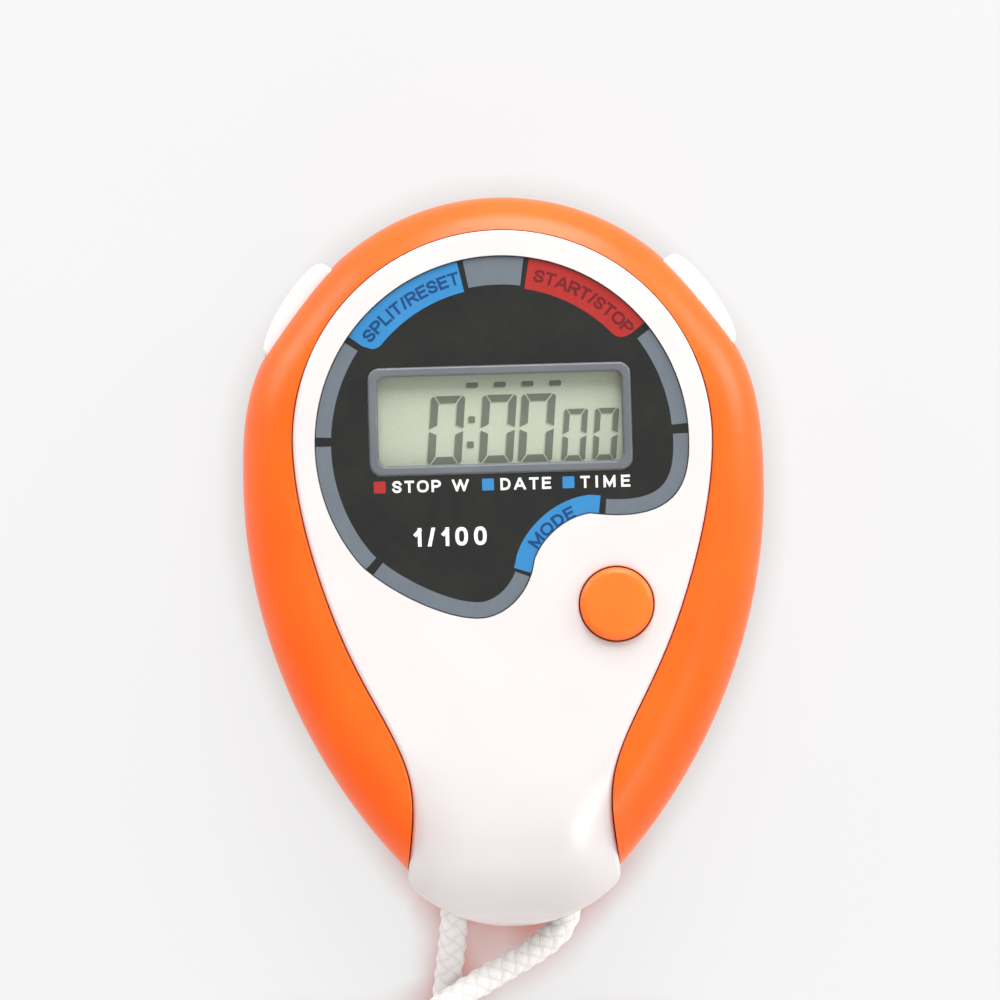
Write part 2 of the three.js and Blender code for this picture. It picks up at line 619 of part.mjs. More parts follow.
function makeKnot() {
  const ball = new THREE.IcosahedronGeometry(1, 2);
  ball.scale(KNOT_SIZE.x, KNOT_SIZE.y, KNOT_SIZE.z).translate(KNOT.x, KNOT.y, KNOT.z);
  return solid(ball);
}

// ---------------------------------------------------------------- assembly

const stopwatch = new THREE.Group();
const dial = new THREE.Group();
dial.position.y = DIAL_Y;
stopwatch.add(dial);

function add(name, body, finish, parent = dial) {
  const mesh = new THREE.Mesh(surface(body), new THREE.MeshStandardMaterial(finish));
  mesh.name = name;
  parent.add(mesh);
}

function addSideButton(name, deg) {
  const frame = new THREE.Group();
  frame.rotation.z = rad(deg);
  dial.add(frame);
  add(`button_${name}`, makeSideButton(), WHITE, frame);
  add(`leaf_spring_${name}`, makeLeafSpring(), STEEL, frame);
}

add('rear_case', makeRearCase(), WHITE);
add('front_case', makeFrontCase(), ORANGE);
add('front_panel', makeFrontPanel(), WHITE);
add('face_label', makeLabel(), BLACK);

add('lcd_bezel', makeBezel(), GREY);
add('lcd_window', makeWindow(), CLEAR);
add('lcd_glass', displaySlab(GLASS_SIZE, 13.0, 15.1), LCD_GREEN);
add('lcd_reflector', displaySlab(at(28.5, 10.8), 12.75, 12.95), FOIL);
add('lcd_holder', makeDisplayHolder(), WHITE);
add('zebra_strip_upper', makeZebraStrip(ZEBRA_Y), RUBBER);
add('zebra_strip_lower', makeZebraStrip(-ZEBRA_Y), RUBBER);

add('main_pcb', makeBoard(), BOARD);
add('chip_blob', makeChipBlob(), EPOXY);
add('quartz_crystal', makeCrystal(), STEEL);
add('capacitor_1', makeChipPart(at(-11, 8.5), at(2.0, 1.2)), CERAMIC);
add('capacitor_2', makeChipPart(at(-11, -0.5), at(2.0, 1.2)), CERAMIC);
add('resistor', makeChipPart(at(11, 8), at(2.0, 1.2)), EPOXY);

add('battery_cell', makeBatteryCell(), STEEL);
add('battery_holder', makeBatteryHolder(), BLACK);
add('battery_contact_positive', makePositiveContact(), STEEL);
add('battery_contact_negative', makeNegativeContact(), STEEL);
add('battery_cover', makeBatteryCover(), WHITE);
add('battery_cover_seal', makeCoverSeal(), RUBBER);
add('piezo_disc', makePiezoDisc(), BRASS);
add('piezo_ceramic', makePiezoCeramic(), CERAMIC);
PIEZO_SPRINGS.forEach((centre, i) => {
  add(`buzzer_spring_${i + 1}`, makeBuzzerSpring(centre, 2.5), STEEL);
});

addSideButton('start_stop', SIDE_BUTTON_DEG);
addSideButton('split_reset', 180 - SIDE_BUTTON_DEG);
add('button_mode', makeModeButton(), ORANGE);
add('mode_dome_switch', makeModeDome(), RUBBER);

CASE_SCREWS.forEach((centre, i) => {
  add(`case_screw_${i + 1}`, makeScrew(centre, 0.9, 1.9, 1.35, 1.0, 11.8), STEEL);
});
PCB_SCREWS.forEach((centre, i) => {
  add(`pcb_screw_${i + 1}`, makeScrew(centre, 7.7, 1.7, 1.15, 0.9, 13.9), STEEL);
});

add('lanyard_strand_left', strand(LEFT_ROUTE), CORD);
add('lanyard_strand_right', strand(RIGHT_ROUTE), CORD);
add('lanyard_strand_tail', strand(TAIL_ROUTE), CORD);
add('lanyard_coil', makeCoil(), CORD);
add('lanyard_knot', makeKnot(), CORD);
add('lanyard_tie', makeTie(), TIE_GREY);

export default stopwatch;
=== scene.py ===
"""Looks of a digital sports stopwatch with a braided lanyard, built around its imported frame.

Lengths are millimetres. Plan positions (x, y) are measured from the centre of the round dial, and
heights from the back face. `place` turns them into the frame's metres.
"""
import math

import bmesh
import bpy
import numpy as np
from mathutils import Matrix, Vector
from mathutils.geometry import delaunay_2d_cdt


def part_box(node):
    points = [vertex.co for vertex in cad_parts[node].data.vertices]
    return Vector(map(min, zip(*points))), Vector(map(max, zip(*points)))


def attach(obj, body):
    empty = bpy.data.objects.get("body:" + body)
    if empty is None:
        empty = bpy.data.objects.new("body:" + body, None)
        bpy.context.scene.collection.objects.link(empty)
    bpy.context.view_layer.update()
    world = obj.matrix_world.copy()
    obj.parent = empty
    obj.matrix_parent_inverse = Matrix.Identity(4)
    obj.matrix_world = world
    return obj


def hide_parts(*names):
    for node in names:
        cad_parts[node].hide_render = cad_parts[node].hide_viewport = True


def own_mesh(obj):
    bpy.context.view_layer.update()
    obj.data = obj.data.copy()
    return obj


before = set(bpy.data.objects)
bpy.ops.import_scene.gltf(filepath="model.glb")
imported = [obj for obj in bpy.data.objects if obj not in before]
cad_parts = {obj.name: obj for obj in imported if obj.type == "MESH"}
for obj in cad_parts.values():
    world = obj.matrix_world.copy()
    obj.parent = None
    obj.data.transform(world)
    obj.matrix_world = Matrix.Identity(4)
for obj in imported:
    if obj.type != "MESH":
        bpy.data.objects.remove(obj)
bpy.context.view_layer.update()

MM = 0.001
TOP_R = 26.6  # radius of the case's round top
DIAL_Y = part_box("front_case")[1].y / MM - TOP_R  # the dial's centre in the frame

# ---------------------------------------------------------------- sizes, from the frame


def node_box(node):
    """The lowest and highest corner of a frame node, in dial millimetres."""
    low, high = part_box(node)
    shift = Vector((0, DIAL_Y, 0))
    return low / MM - shift, high / MM - shift


def middle(node):
    low, high = node_box(node)
    return (low + high) / 2


def bezel_size(more):
    """Width and height of the display's frame, each grown by `more`."""
    low, high = node_box("lcd_bezel")
    return high.x - low.x + more, high.y - low.y + more


REAR_TOP = node_box("rear_case")[1].z
FRONT_BOTTOM = node_box("front_case")[0].z
CROWN = node_box("front_case")[1].z
PANEL_TOP = node_box("front_panel")[1].z
LABEL_TOP = node_box("face_label")[1].z
BEZEL_TOP = node_box("lcd_bezel")[1].z
LCD_TOP = node_box("lcd_glass")[1].z
NECK_END_Y = node_box("front_panel")[0].y
MODE = middle("button_mode")
MODE_TOP = node_box("button_mode")[1].z
LCD = middle("lcd_glass")
BATTERY = middle("battery_cell")
PIEZO = middle("piezo_disc")

FLOOR = 1.8  # thickness of the rear case's floor
WALL = 1.9
GAP = 0.1  # parting line between the orange case and the white panel
LEDGE_BOTTOM = 13.6  # the orange case's ledge, which carries the white panel
LEDGE_TOP = 15.2
PANEL_UNDER = 15.4
LABEL_SEAT = 16.65
PANEL_SKIRT_Y = -36  # nearer the neck's end than this, the panel has side walls
MODE_R = 4.0
SIDE_BUTTON_DEG = 33.5  # direction of the right button from the dial's centre
SIDE_BUTTON_Z = 10.0
CORD_R = 1.5
BELOW, ABOVE, BESIDE = -1, 20, 40  # heights and a reach past the case, where cutting tools end
PAST_NECK_Y = -60

# ---------------------------------------------------------------- outlines


def arc(x, y, radius, start, end, steps):
    turn = np.radians(np.linspace(start, end, steps + 1))
    return np.column_stack([x + radius * np.cos(turn), y + radius * np.sin(turn)])


def bend(a, b, c, d, steps):
    t = np.linspace(0, 1, steps + 1)[:, None]
    a, b, c, d = (np.array(p, float) for p in (a, b, c, d))
    return a * (1 - t) ** 3 + 3 * b * t * (1 - t) ** 2 + 3 * c * t * t * (1 - t) + d * t**3


SAME_POINT = 1e-4


def steps_of(points):
    """The length of each step along a line."""
    return np.linalg.norm(np.diff(points, axis=0), axis=1)


def travelled(points):
    """The distance along a line at each of its points."""
    return np.concatenate([[0], np.cumsum(steps_of(points))])


def chain(*curves):
    """The curves end to end, without the points that repeat."""
    points = np.concatenate(curves)
    kept = np.ones(len(points), bool)
    kept[1:] = steps_of(points) > SAME_POINT
    return points[kept]


def even(points, spacing):
    """The same line with evenly spaced points."""
    along = travelled(points)
    stops = np.linspace(0, along[-1], max(2, round(along[-1] / spacing) + 1))
    return np.column_stack([np.interp(stops, along, column) for column in points.T])


def mirrored(half):
    """A closed outline from its right half, top to bottom. It starts at the top and runs down the left."""
    left = half[1:-1] * (-1, 1)
    return np.concatenate([half[:1], left, half[-1:], half[1:-1][::-1]])


def softened(outline, passes):
    for _ in range(passes):
        outline = (np.roll(outline, 1, 0) + 2 * outline + np.roll(outline, -1, 0)) / 4
    return outline


def anticlockwise(outline):
    following = np.roll(outline, -1, 0)
    area = np.sum(outline[:, 0] * following[:, 1] - following[:, 0] * outline[:, 1])
    return outline if area > 0 else outline[::-1]


def left_of(runs):
    """Unit vectors to the left of each direction."""
    return np.column_stack([-runs[:, 1], runs[:, 0]]) / np.linalg.norm(runs, axis=1)[:, None]


def inward(outline):
    """The direction into an anticlockwise outline at each of its points."""
    return left_of(np.roll(outline, -1, 0) - np.roll(outline, 1, 0))


def inset(outline, distance):
    return outline + inward(outline) * distance


def level(outline, z):
    return np.column_stack([outline, np.full(len(outline), z)])


def round_box(centre, size, radius, spacing=0.15):
    dx, dy = size[0] / 2 - radius, size[1] / 2 - radius
    x, y = centre[0], centre[1]
    steps = max(3, round(radius * math.pi / 2 / spacing))
    corners = [(dx, dy, 0), (-dx, dy, 90), (-dx, -dy, 180), (dx, -dy, 270)]
    return chain(*(arc(x + sx, y + sy, radius, deg, deg + 90, steps) for sx, sy, deg in corners))


def ring(centre, radius, sides):
    return arc(centre[0], centre[1], radius, 0, 360, sides)[:-1]


TIP = (12.3, -46.2)
WIDEST = (28.55, -4.8)
FLAT_END = (24.66, 11.5)
CASE_SIDE = chain(
    arc(0, 0, TOP_R, 90, 50, 60),
    bend((17.1, 20.38), (19.4, 18.4), (22.2, 14.9), FLAT_END, 40),
    bend(FLAT_END, (28.32, 6.79), (28.55, 0.82), WIDEST, 50),
    bend(WIDEST, (28.55, -19.81), (22.52, -34.87), TIP, 120),
)
NECK_END = arc(0, NECK_END_Y + 16.2, 16.2, -43.7, -90, 40)
TIP_END = (11.2, -47.4)  # the tips run on under the panel's edge, so that they end in a point
CASE_STEP, PANEL_STEP, LABEL_STEP = 0.35, 0.3, 0.2  # between the points of an outline
CASE_OUTLINE = mirrored(even(chain(CASE_SIDE, np.array([TIP_END, (0, TIP_END[1] - 1)])), CASE_STEP))
REAR_OUTLINE = softened(mirrored(even(chain(CASE_SIDE, NECK_END), CASE_STEP)), 34)
PANEL_OUTLINE = softened(mirrored(even(chain(
    arc(0, 0, 22.95, 90, 0, 90),
    bend((22.95, 0), (22.95, -7.98), (19.68, -17.72), (17.6, -22.57), 60),
    bend((17.6, -22.57), (14.37, -30.12), (10.88, -33.92), (10.88, -39.9), 60),
    bend((10.88, -39.9), (10.88, -42.6), (11.5, -45.68), NECK_END[0], 30),
    NECK_END,
), PANEL_STEP)), 8)
LABEL_CENTRE = (-0.06, -0.31)
LABEL_R = 20.45
LABEL_SIDE = (LABEL_CENTRE[0] + LABEL_R, LABEL_CENTRE[1])
LABEL_LOWEST = (-3.0, -19.45)
BAY_LOW = (3.11, -13.32)
BAY_HIGH = (9.46, -8.27)
LABEL_ROUND = arc(*LABEL_CENTRE, LABEL_R, 0, 218, 220)
LABEL_OUTLINE = anticlockwise(even(chain(
    LABEL_ROUND,
    bend(LABEL_ROUND[-1], (-14.35, -15.2), (-7.6, -19.45), LABEL_LOWEST, 60),
    bend(LABEL_LOWEST, (-0.35, -19.45), (2.6, -16.98), BAY_LOW, 40),
    bend(BAY_LOW, (3.8, -11.2), (6.3, -8.6), BAY_HIGH, 40),
    bend(BAY_HIGH, (19.8, -9.9), (20.4, -4.3), LABEL_SIDE, 60),
), LABEL_STEP)[:-1])

# ---------------------------------------------------------------- meshes


def place(points):
    return (np.asarray(points, float) + (0, DIAL_Y, 0)) * MM


def new_piece(name, points, faces):
    mesh = bpy.data.meshes.new(name)
    mesh.from_pydata(place(points).tolist(), [], faces)
    mesh.update()
    piece = bpy.data.objects.new(name, mesh)
    bpy.context.scene.collection.objects.link(piece)
    return piece


def walls(count, rings, start=0, closed=False):
    """The quads between rings of `count` points each and, where `closed`, from the last to the first."""
    faces = []
    for k in range(rings if closed else rings - 1):
        low, high = start + k * count, start + (k + 1) % rings * count
        for i in range(count):
            j = (i + 1) % count
            faces.append((low + i, low + j, high + j, high + i))
    return faces


def fan(centre, start, count, up=True):
    """The triangles between a closed ring and a point in its middle."""
    faces = [(centre, start + i, start + (i + 1) % count) for i in range(count)]
    return faces if up else [face[::-1] for face in faces]


def ladder(count, start, up=True):
    """A closed ring's inside, as rungs between the points that mirror each other."""
    faces = []
    for i in range(count // 2):
        left, right = (i, i + 1), ((count - i) % count, count - i - 1)
        face = [left[0], left[1]]
        if right[1] != left[1]:
            face.append(right[1])
        if right[0] != left[0]:
            face.append(right[0])
        face = [start + corner for corner in face]
        faces.append(tuple(face if up else reversed(face)))
    return faces


def loft(name, rings, symmetric=False):
    """A closed solid through anticlockwise rings, from its bottom to its top."""
    count = len(rings[0])
    last = (len(rings) - 1) * count
    faces = walls(count, len(rings))
    if symmetric:
        faces += ladder(count, 0, up=False) + ladder(count, last)
    else:
        faces += [tuple(range(count - 1, -1, -1)), tuple(range(last, last + count))]
    return new_piece(name, np.concatenate(rings), faces)


def rim(outline, z, rise, run, steps, under=False):
    """Rings round a quarter of an ellipse, from the wall to the top or, with `under`, from the bottom."""
    rings = []
    for turn in np.radians(np.linspace(0, 90, steps + 1)):
        short = rise * (1 - math.sin(turn))
        rings.append(level(inset(outline, run * (1 - math.cos(turn))), z + short if under else z - short))
    return rings[::-1] if under else rings


def plate(name, outline, bottom, top, upper=(0, 0), lower=(0, 0), steps=4):
    """A plate whose upper and lower rims are rounded by (rise, run)."""
    low = rim(outline, bottom, *lower, steps, under=True) if lower[0] else [level(outline, bottom)]
    high = rim(outline, top, *upper, steps) if upper[0] else [level(outline, top)]
    return loft(name, low + high)


def block(x0, x1, y0, y1, z0, z1):
    outline = np.array([(x0, y0), (x1, y0), (x1, y1), (x0, y1)], float)
    return loft("block", [level(outline, z0), level(outline, z1)])


def filleted(points, radius, steps=4):
    """A line with its corners rounded by `radius`, or by less where they lie close together."""
    points = [np.array(p, float) for p in points]
    line = [points[0]]
    for before, corner, after in zip(points, points[1:], points[2:]):
        back, ahead = before - corner, after - corner
        near, far = np.linalg.norm(back), np.linalg.norm(ahead)
        cut = min(radius, near * 0.45, far * 0.45)
        a, b = corner + back / near * cut, corner + ahead / far * cut
        for t in np.linspace(0, 1, steps + 1):
            line.append(a * (1 - t) ** 2 + 2 * corner * t * (1 - t) + b * t * t)
    return line + [points[-1]]


def turned(name, profile, centre, sides=96):
    """A solid turned about a vertical axis. The profile runs from the axis, below, to the axis, above."""
    points = [(centre[0], centre[1], profile[0][1])]
    for radius, z in profile[1:-1]:
        points += level(ring(centre, radius, sides), z).tolist()
    points.append((centre[0], centre[1], profile[-1][1]))
    top = len(points) - 1
    faces = walls(sides, len(profile) - 2, start=1)
    faces += fan(0, 1, sides, up=False) + fan(top, top - sides, sides)
    return new_piece(name, points, faces)


def post(centre, radius, bottom, top, sides=48):
    return loft("post", [level(ring(centre, radius, sides), z) for z in (bottom, top)])


def baked(piece):
    """Turns a piece's modifiers into its mesh."""
    graph = bpy.context.evaluated_depsgraph_get()
    piece.data = bpy.data.meshes.new_from_object(piece.evaluated_get(graph))
    piece.modifiers.clear()
    return piece


def combined(piece, operation, tools):
    for tool in tools:
        modifier = piece.modifiers.new("solid", "BOOLEAN")
        modifier.operation = operation
        modifier.solver = "MANIFOLD"
        modifier.object = tool
    baked(piece)
    for tool in tools:
        bpy.data.objects.remove(tool)
    return piece


def cut(piece, *tools):
    return combined(piece, "DIFFERENCE", tools)


def joined(piece, *tools):
    return combined(piece, "UNION", tools)


def kept_within(piece, *tools):
    return combined(piece, "INTERSECT", tools)


def smooth(piece, sharp_deg=28):
    piece.data.shade_smooth()
    piece.data.set_sharp_from_angle(angle=math.radians(sharp_deg))
    weighted = piece.modifiers.new("even shading", "WEIGHTED_NORMAL")
    weighted.keep_sharp = True
    weighted.weight = 90  # flat faces far outweigh narrow ones
    return piece


def dress(piece, material, slot, body, *nodes):
    """Gives a piece its finish, its body and the frame nodes that it stands for."""
    if material is not None:
        piece.data.materials.clear()
        piece.data.materials.append(material)
    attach(piece, body)
    if nodes:
        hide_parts(*nodes)
    return piece


# ---------------------------------------------------------------- materials


def srgb(red, green, blue):
    return tuple(
        (c / 255 / 12.92) if c <= 10.3 else ((c / 255 + 0.055) / 1.055) ** 2.4 for c in (red, green, blue)
    ) + (1.0,)


class Tree:
    """A node tree, with short calls that add to it."""

    def __init__(self, owner):
        owner.use_nodes = True
        self.nodes, self.links = owner.node_tree.nodes, owner.node_tree.links

    def add(self, kind, inputs=None, **settings):
        node = self.nodes.new(kind)
        for key, value in settings.items():
            setattr(node, key, value)
        for key, value in (inputs or {}).items():
            if isinstance(value, bpy.types.NodeSocket):
                self.links.new(value, node.inputs[key])
            else:
                node.inputs[key].default_value = value
        return node

    def remap(self, value, low, high, to_low=0.0, to_high=1.0):
        inputs = {"Value": value, "From Min": low, "From Max": high, "To Min": to_low, "To Max": to_high}
        return self.add("ShaderNodeMapRange", inputs).outputs["Result"]

    def maths(self, operation, first, second=0.0):
        return self.add("ShaderNodeMath", {0: first, 1: second}, operation=operation).outputs[0]

    def split(self, vector):
        return self.add("ShaderNodeSeparateXYZ", {"Vector": vector}).outputs

    def blend(self, share, first, second):
        """A colour between two, each a colour or a socket."""
        return self.add("ShaderNodeMix", {0: share, 6: first, 7: second}, data_type="RGBA").outputs[2]


class Finish(Tree):
    """A node material: a Principled shader and short calls that add pattern to it."""

    def __init__(self, name, **sockets):
        self.material = bpy.data.materials.new(name)
        super().__init__(self.material)
        self.shader = self.nodes["Principled BSDF"]
        for socket, value in sockets.items():
            self.shader.inputs[socket.replace("_", " ")].default_value = value
        self.where = self.nodes.new("ShaderNodeTexCoord").outputs["Object"]
        self.bumps = None

    def noise(self, size, detail=3.0):
        """Soft noise whose features are about `size` millimetres."""
        inputs = {"Vector": self.where, "Scale": 1 / (size * MM), "Detail": detail}
        return self.add("ShaderNodeTexNoise", inputs).outputs["Fac"]

    def cloud(self, size):
        """Noise spread over the whole range from 0 to 1."""
        return self.remap(self.noise(size), 0.35, 0.65)

    def colour(self, socket):
        self.links.new(socket, self.shader.inputs["Base Color"])

    def two_tone(self, share, main, shade):
        """A colour between two, each given as red, green and blue up to 255."""
        self.colour(self.blend(share, srgb(*main), srgb(*shade)))

    def gloss(self, pattern, low, high):
        """Roughness between two values, as the pattern has it."""
        self.links.new(self.remap(pattern, 0.3, 0.7, low, high), self.shader.inputs["Roughness"])

    def bump(self, height, depth, strength=1.0):
        """Adds relief of `depth` millimetres."""
        inputs = {"Height": height, "Distance": depth * MM, "Strength": strength}
        if self.bumps is not None:
            inputs["Normal"] = self.bumps
        self.bumps = self.add("ShaderNodeBump", inputs).outputs["Normal"]
        self.links.new(self.bumps, self.shader.inputs["Normal"])
        return self


def plastic(name, main, shade, roughness, grain_depth=0.004, **sockets):
    """Moulded plastic: cloudy colour, uneven gloss, long soft waves and a fine grain."""
    finish = Finish(name, IOR=1.5, **sockets)
    finish.two_tone(finish.cloud(9), main, shade)
    finish.gloss(finish.noise(2.5, 4), roughness - 0.04, roughness + 0.05)
    finish.bump(finish.noise(5, 1), 0.01)
    return finish.bump(finish.noise(0.35, 2), grain_depth).material


def label_film():
    """Dark printed film with a fine dimpled surface."""
    finish = Finish("label_film", IOR=1.5, Specular_IOR_Level=0.3)
    finish.two_tone(finish.remap(finish.noise(6), 0.4, 0.6), (27, 28, 27), (32, 33, 31))
    finish.gloss(finish.noise(1.2, 4), 0.42, 0.55)
    return finish.bump(finish.noise(0.12, 1), 0.003).material


def ink(name, main, shade):
    """Screen-printed ink: slightly uneven cover and the print screen's fine mesh."""
    finish = Finish(name, IOR=1.5, Specular_IOR_Level=0.3)
    speckle = finish.noise(0.25, 4)
    patches = finish.maths("MULTIPLY", finish.noise(3), 0.6)
    cover = finish.maths("ADD", patches, finish.maths("MULTIPLY", speckle, 0.4))
    finish.two_tone(finish.remap(cover, 0.35, 0.65), main, shade)
    finish.gloss(speckle, 0.4, 0.52)
    return finish.bump(speckle, 0.004).material


def lcd_face():
    """The display's reflector: grey green, with a pearly grain."""
    finish = Finish("lcd_face", IOR=1.45, Specular_IOR_Level=0.12)
    finish.two_tone(finish.cloud(0.15), (190, 194, 176), (199, 203, 186))
    finish.gloss(finish.noise(0.4), 0.4, 0.55)
    return finish.bump(finish.noise(0.1, 2), 0.002).material


def clear_window():
    """A clear sheet: nearly all see-through, with a faint shine that dulls in places."""
    finish = Finish("clear_window")
    finish.nodes.remove(finish.shader)
    smears = finish.remap(finish.noise(4, 5), 0.35, 0.7, 0.02, 0.09)
    shine = finish.add("ShaderNodeBsdfGlossy", {"Roughness": smears})
    through = finish.add("ShaderNodeBsdfTransparent", {"Color": srgb(252, 253, 252)})
    facing = finish.add("ShaderNodeLayerWeight").outputs["Facing"]
    edge = finish.remap(finish.maths("POWER", facing, 4.0), 0, 1, 0.025, 0.5)
    both = finish.add("ShaderNodeMixShader", {0: edge, 1: through.outputs[0], 2: shine.outputs[0]})
    finish.links.new(both.outputs[0], finish.nodes["Material Output"].inputs["Surface"])
    return finish.material


BRAID_YARNS = 4  # yarns that run round the cord each way
BRAID_LENGTH = 1.75  # millimetres of cord for each crossing of a yarn
YARN_FILAMENTS = 6
BRAID_RELIEF, BRAID_MEAN = 0.24, 0.7  # height of a yarn, and the share of it that is its middle
CORD_SIDES = 36
CORD_END = 0.25  # length of a cord's pointed ends


def braided(name):
    """Yarn on the cord: bundles of filaments along each strand, with painted shade towards each yarn's
    edges, where it dips into the crossings.
    """
    finish = Finish(name, Roughness=0.75, Sheen_Weight=0.35, Sheen_Roughness=0.5, IOR=1.5)
    round_way, along, _ = finish.split(finish.add("ShaderNodeUVMap", uv_map="braid").outputs["UV"])
    right = finish.maths("ADD", round_way, along)
    left = finish.maths("SUBTRACT", round_way, along)
    cell = finish.maths("ADD", finish.maths("FLOOR", right), finish.maths("FLOOR", left))
    on_top = finish.maths("PINGPONG", cell, 1.0)
    yarn = finish.add("ShaderNodeMix", {"Factor": on_top, "A": right, "B": left}).outputs[0]
    painted_crevice_shade = finish.maths("SINE", finish.maths("MULTIPLY", finish.maths("FRACT", yarn), math.pi))
    filaments = finish.maths("SINE", finish.maths("MULTIPLY", yarn, 2 * math.pi * YARN_FILAMENTS))
    fuzz = finish.noise(0.12, 3)
    # painted shade: the colour darkens towards each yarn's edges, where the yarns dip into the crossings;
    # the fuzz adds random tone
    shade = finish.remap(finish.maths("ADD", painted_crevice_shade, finish.maths("MULTIPLY", fuzz, 0.5)), 0.1, 1.1)
    finish.two_tone(shade, (234, 229, 226), (252, 250, 248))
    finish.bump(filaments, 0.03, 0.7)
    return finish.bump(fuzz, 0.03).material


def metal(name, main, shade, roughness):
    """Bare metal: slightly stained, with uneven gloss and a fine grain."""
    finish = Finish(name, Metallic=1.0)
    finish.two_tone(finish.cloud(2), main, shade)
    finish.gloss(finish.noise(0.3, 4), roughness - 0.06, roughness + 0.08)
    return finish.bump(finish.noise(0.3, 2), 0.004).material


def circuit_board():
    """Green mask over faint copper tracks."""
    finish = Finish("circuit_board", IOR=1.5, Roughness=0.4)
    tracks = finish.add("ShaderNodeTexBrick", {
        "Vector": finish.where, "Scale": 250.0, "Mortar Size": 0.06, "Color1": srgb(24, 92, 50),
        "Color2": srgb(20, 82, 44), "Mortar": srgb(60, 140, 84),
    }).outputs["Color"]
    finish.colour(finish.blend(finish.remap(finish.noise(4), 0.3, 0.7, 0, 0.5), tracks, srgb(16, 76, 40)))
    return finish.bump(finish.noise(0.4), 0.01).material


def floor_paper():
    """White paper on a light table: it glows evenly, but a painted shadow dims the glow close under the
    case, and a painted reddish bounce light from the orange case tints it by the neck.
    """
    finish = Finish("floor_paper", Roughness=0.9, Specular_IOR_Level=0.05, Emission_Strength=0.75)
    open_sky = finish.add("ShaderNodeAmbientOcclusion", {"Distance": 5 * MM}).outputs["AO"]
    neck = place((0, NECK_END_Y, 0)).tolist()
    apart = finish.add("ShaderNodeVectorMath", {0: finish.where, 1: neck}, operation="DISTANCE")
    from_neck = finish.remap(apart.outputs["Value"], 11 * MM, 22 * MM)
    # painted shade colour: reddish by the neck, for light bounced off the orange case, and warm grey further
    # away
    shade = finish.blend(from_neck, srgb(200, 122, 110), srgb(220, 208, 204))
    # painted contact shadow: where ambient occlusion finds the case or cord close above, the glow turns to
    # the painted shade colour
    glow_with_painted_shadow = finish.blend(finish.remap(open_sky, 0.3, 0.9), shade, (1, 1, 1, 1))
    finish.links.new(glow_with_painted_shadow, finish.shader.inputs["Emission Color"])
    finish.two_tone(finish.noise(30, 2), (96, 96, 96), (98, 98, 98))
    return finish.bump(finish.noise(0.8, 4), 0.01).material


WHITE = plastic("white_gloss", (215, 210, 209), (218, 213, 212), 0.2)
WHITE_BUTTON = plastic("white_button", (232, 229, 228), (235, 232, 231), 0.3)
ORANGE = plastic(
    "orange_satin", (251, 94, 4), (251, 99, 7), 0.38,
    Specular_IOR_Level=0.36, Coat_Weight=0.2, Coat_Roughness=0.25,
)
ORANGE_BUTTON = plastic("orange_button", (255, 112, 34), (255, 117, 38), 0.34, Specular_IOR_Level=0.35)
BEZEL = plastic("bezel_grey", (96, 100, 106), (104, 108, 113), 0.36)
WHITE_INNER = plastic("white_inner", (228, 226, 222), (234, 232, 228), 0.45)
BLACK_INNER = plastic("black_inner", (32, 32, 33), (38, 38, 39), 0.45)
RUBBER = plastic("grey_rubber", (66, 68, 72), (74, 76, 80), 0.8, grain_depth=0.01)
TIE_PLASTIC = plastic("tie_plastic", (88, 90, 94), (96, 98, 102), 0.5)
EPOXY = plastic("epoxy", (20, 20, 20), (27, 27, 27), 0.3)
CERAMIC = plastic("ceramic", (230, 226, 214), (238, 234, 222), 0.5)
LABEL = label_film()
INK_GREY = ink("ink_grey", (98, 107, 115), (104, 112, 120))
INK_BLUE = ink("ink_blue", (46, 123, 178), (53, 129, 184))
INK_RED = ink("ink_red", (158, 39, 36), (165, 44, 40))
INK_WHITE = ink("ink_white", (222, 222, 220), (230, 230, 228))
INK_DARK_BLUE = ink("ink_dark_blue", (14, 62, 112), (19, 68, 118))
INK_DARK_RED = ink("ink_dark_red", (100, 23, 27), (106, 27, 30))
LCD_FACE = lcd_face()
# darker green for the readout's painted shadow on the reflector
LCD_PAINTED_SHADOW = ink("lcd_painted_shadow", (166, 173, 154), (171, 178, 159))
LCD_INK = ink("lcd_ink", (110, 114, 103), (116, 120, 109))
WINDOW = clear_window()
STEEL = metal("steel", (190, 194, 198), (178, 182, 187), 0.28)
SPRING_STEEL = metal("spring_steel", (205, 207, 208), (192, 195, 198), 0.22)
BRASS = metal("brass", (206, 166, 84), (194, 152, 72), 0.3)
FOIL = metal("foil", (196, 200, 186), (206, 210, 197), 0.45)
BOARD = circuit_board()
YARN = braided("braided_cord")

# ---------------------------------------------------------------- camera

VIEW_WIDTH = 109.4  # millimetres of the face that fill the picture
VIEW_CENTRE = (-0.44, -6.58)
CAMERA_HEIGHT = 2400.0
CAMERA_ROLL_DEG = -1.6


def add_camera():
    """A camera far above the face, looking straight down with a small roll."""
    camera = bpy.data.objects.new("camera", bpy.data.cameras.new("camera"))
    camera.data.lens = camera.data.sensor_width * (CAMERA_HEIGHT - PANEL_TOP) / VIEW_WIDTH
    camera.data.clip_start = 0.01
    camera.location = place((*VIEW_CENTRE, CAMERA_HEIGHT))
    camera.rotation_euler = (0, 0, math.radians(CAMERA_ROLL_DEG))
    bpy.context.scene.collection.objects.link(camera)
    bpy.context.scene.camera = camera


add_camera()

# ---------------------------------------------------------------- lanyard

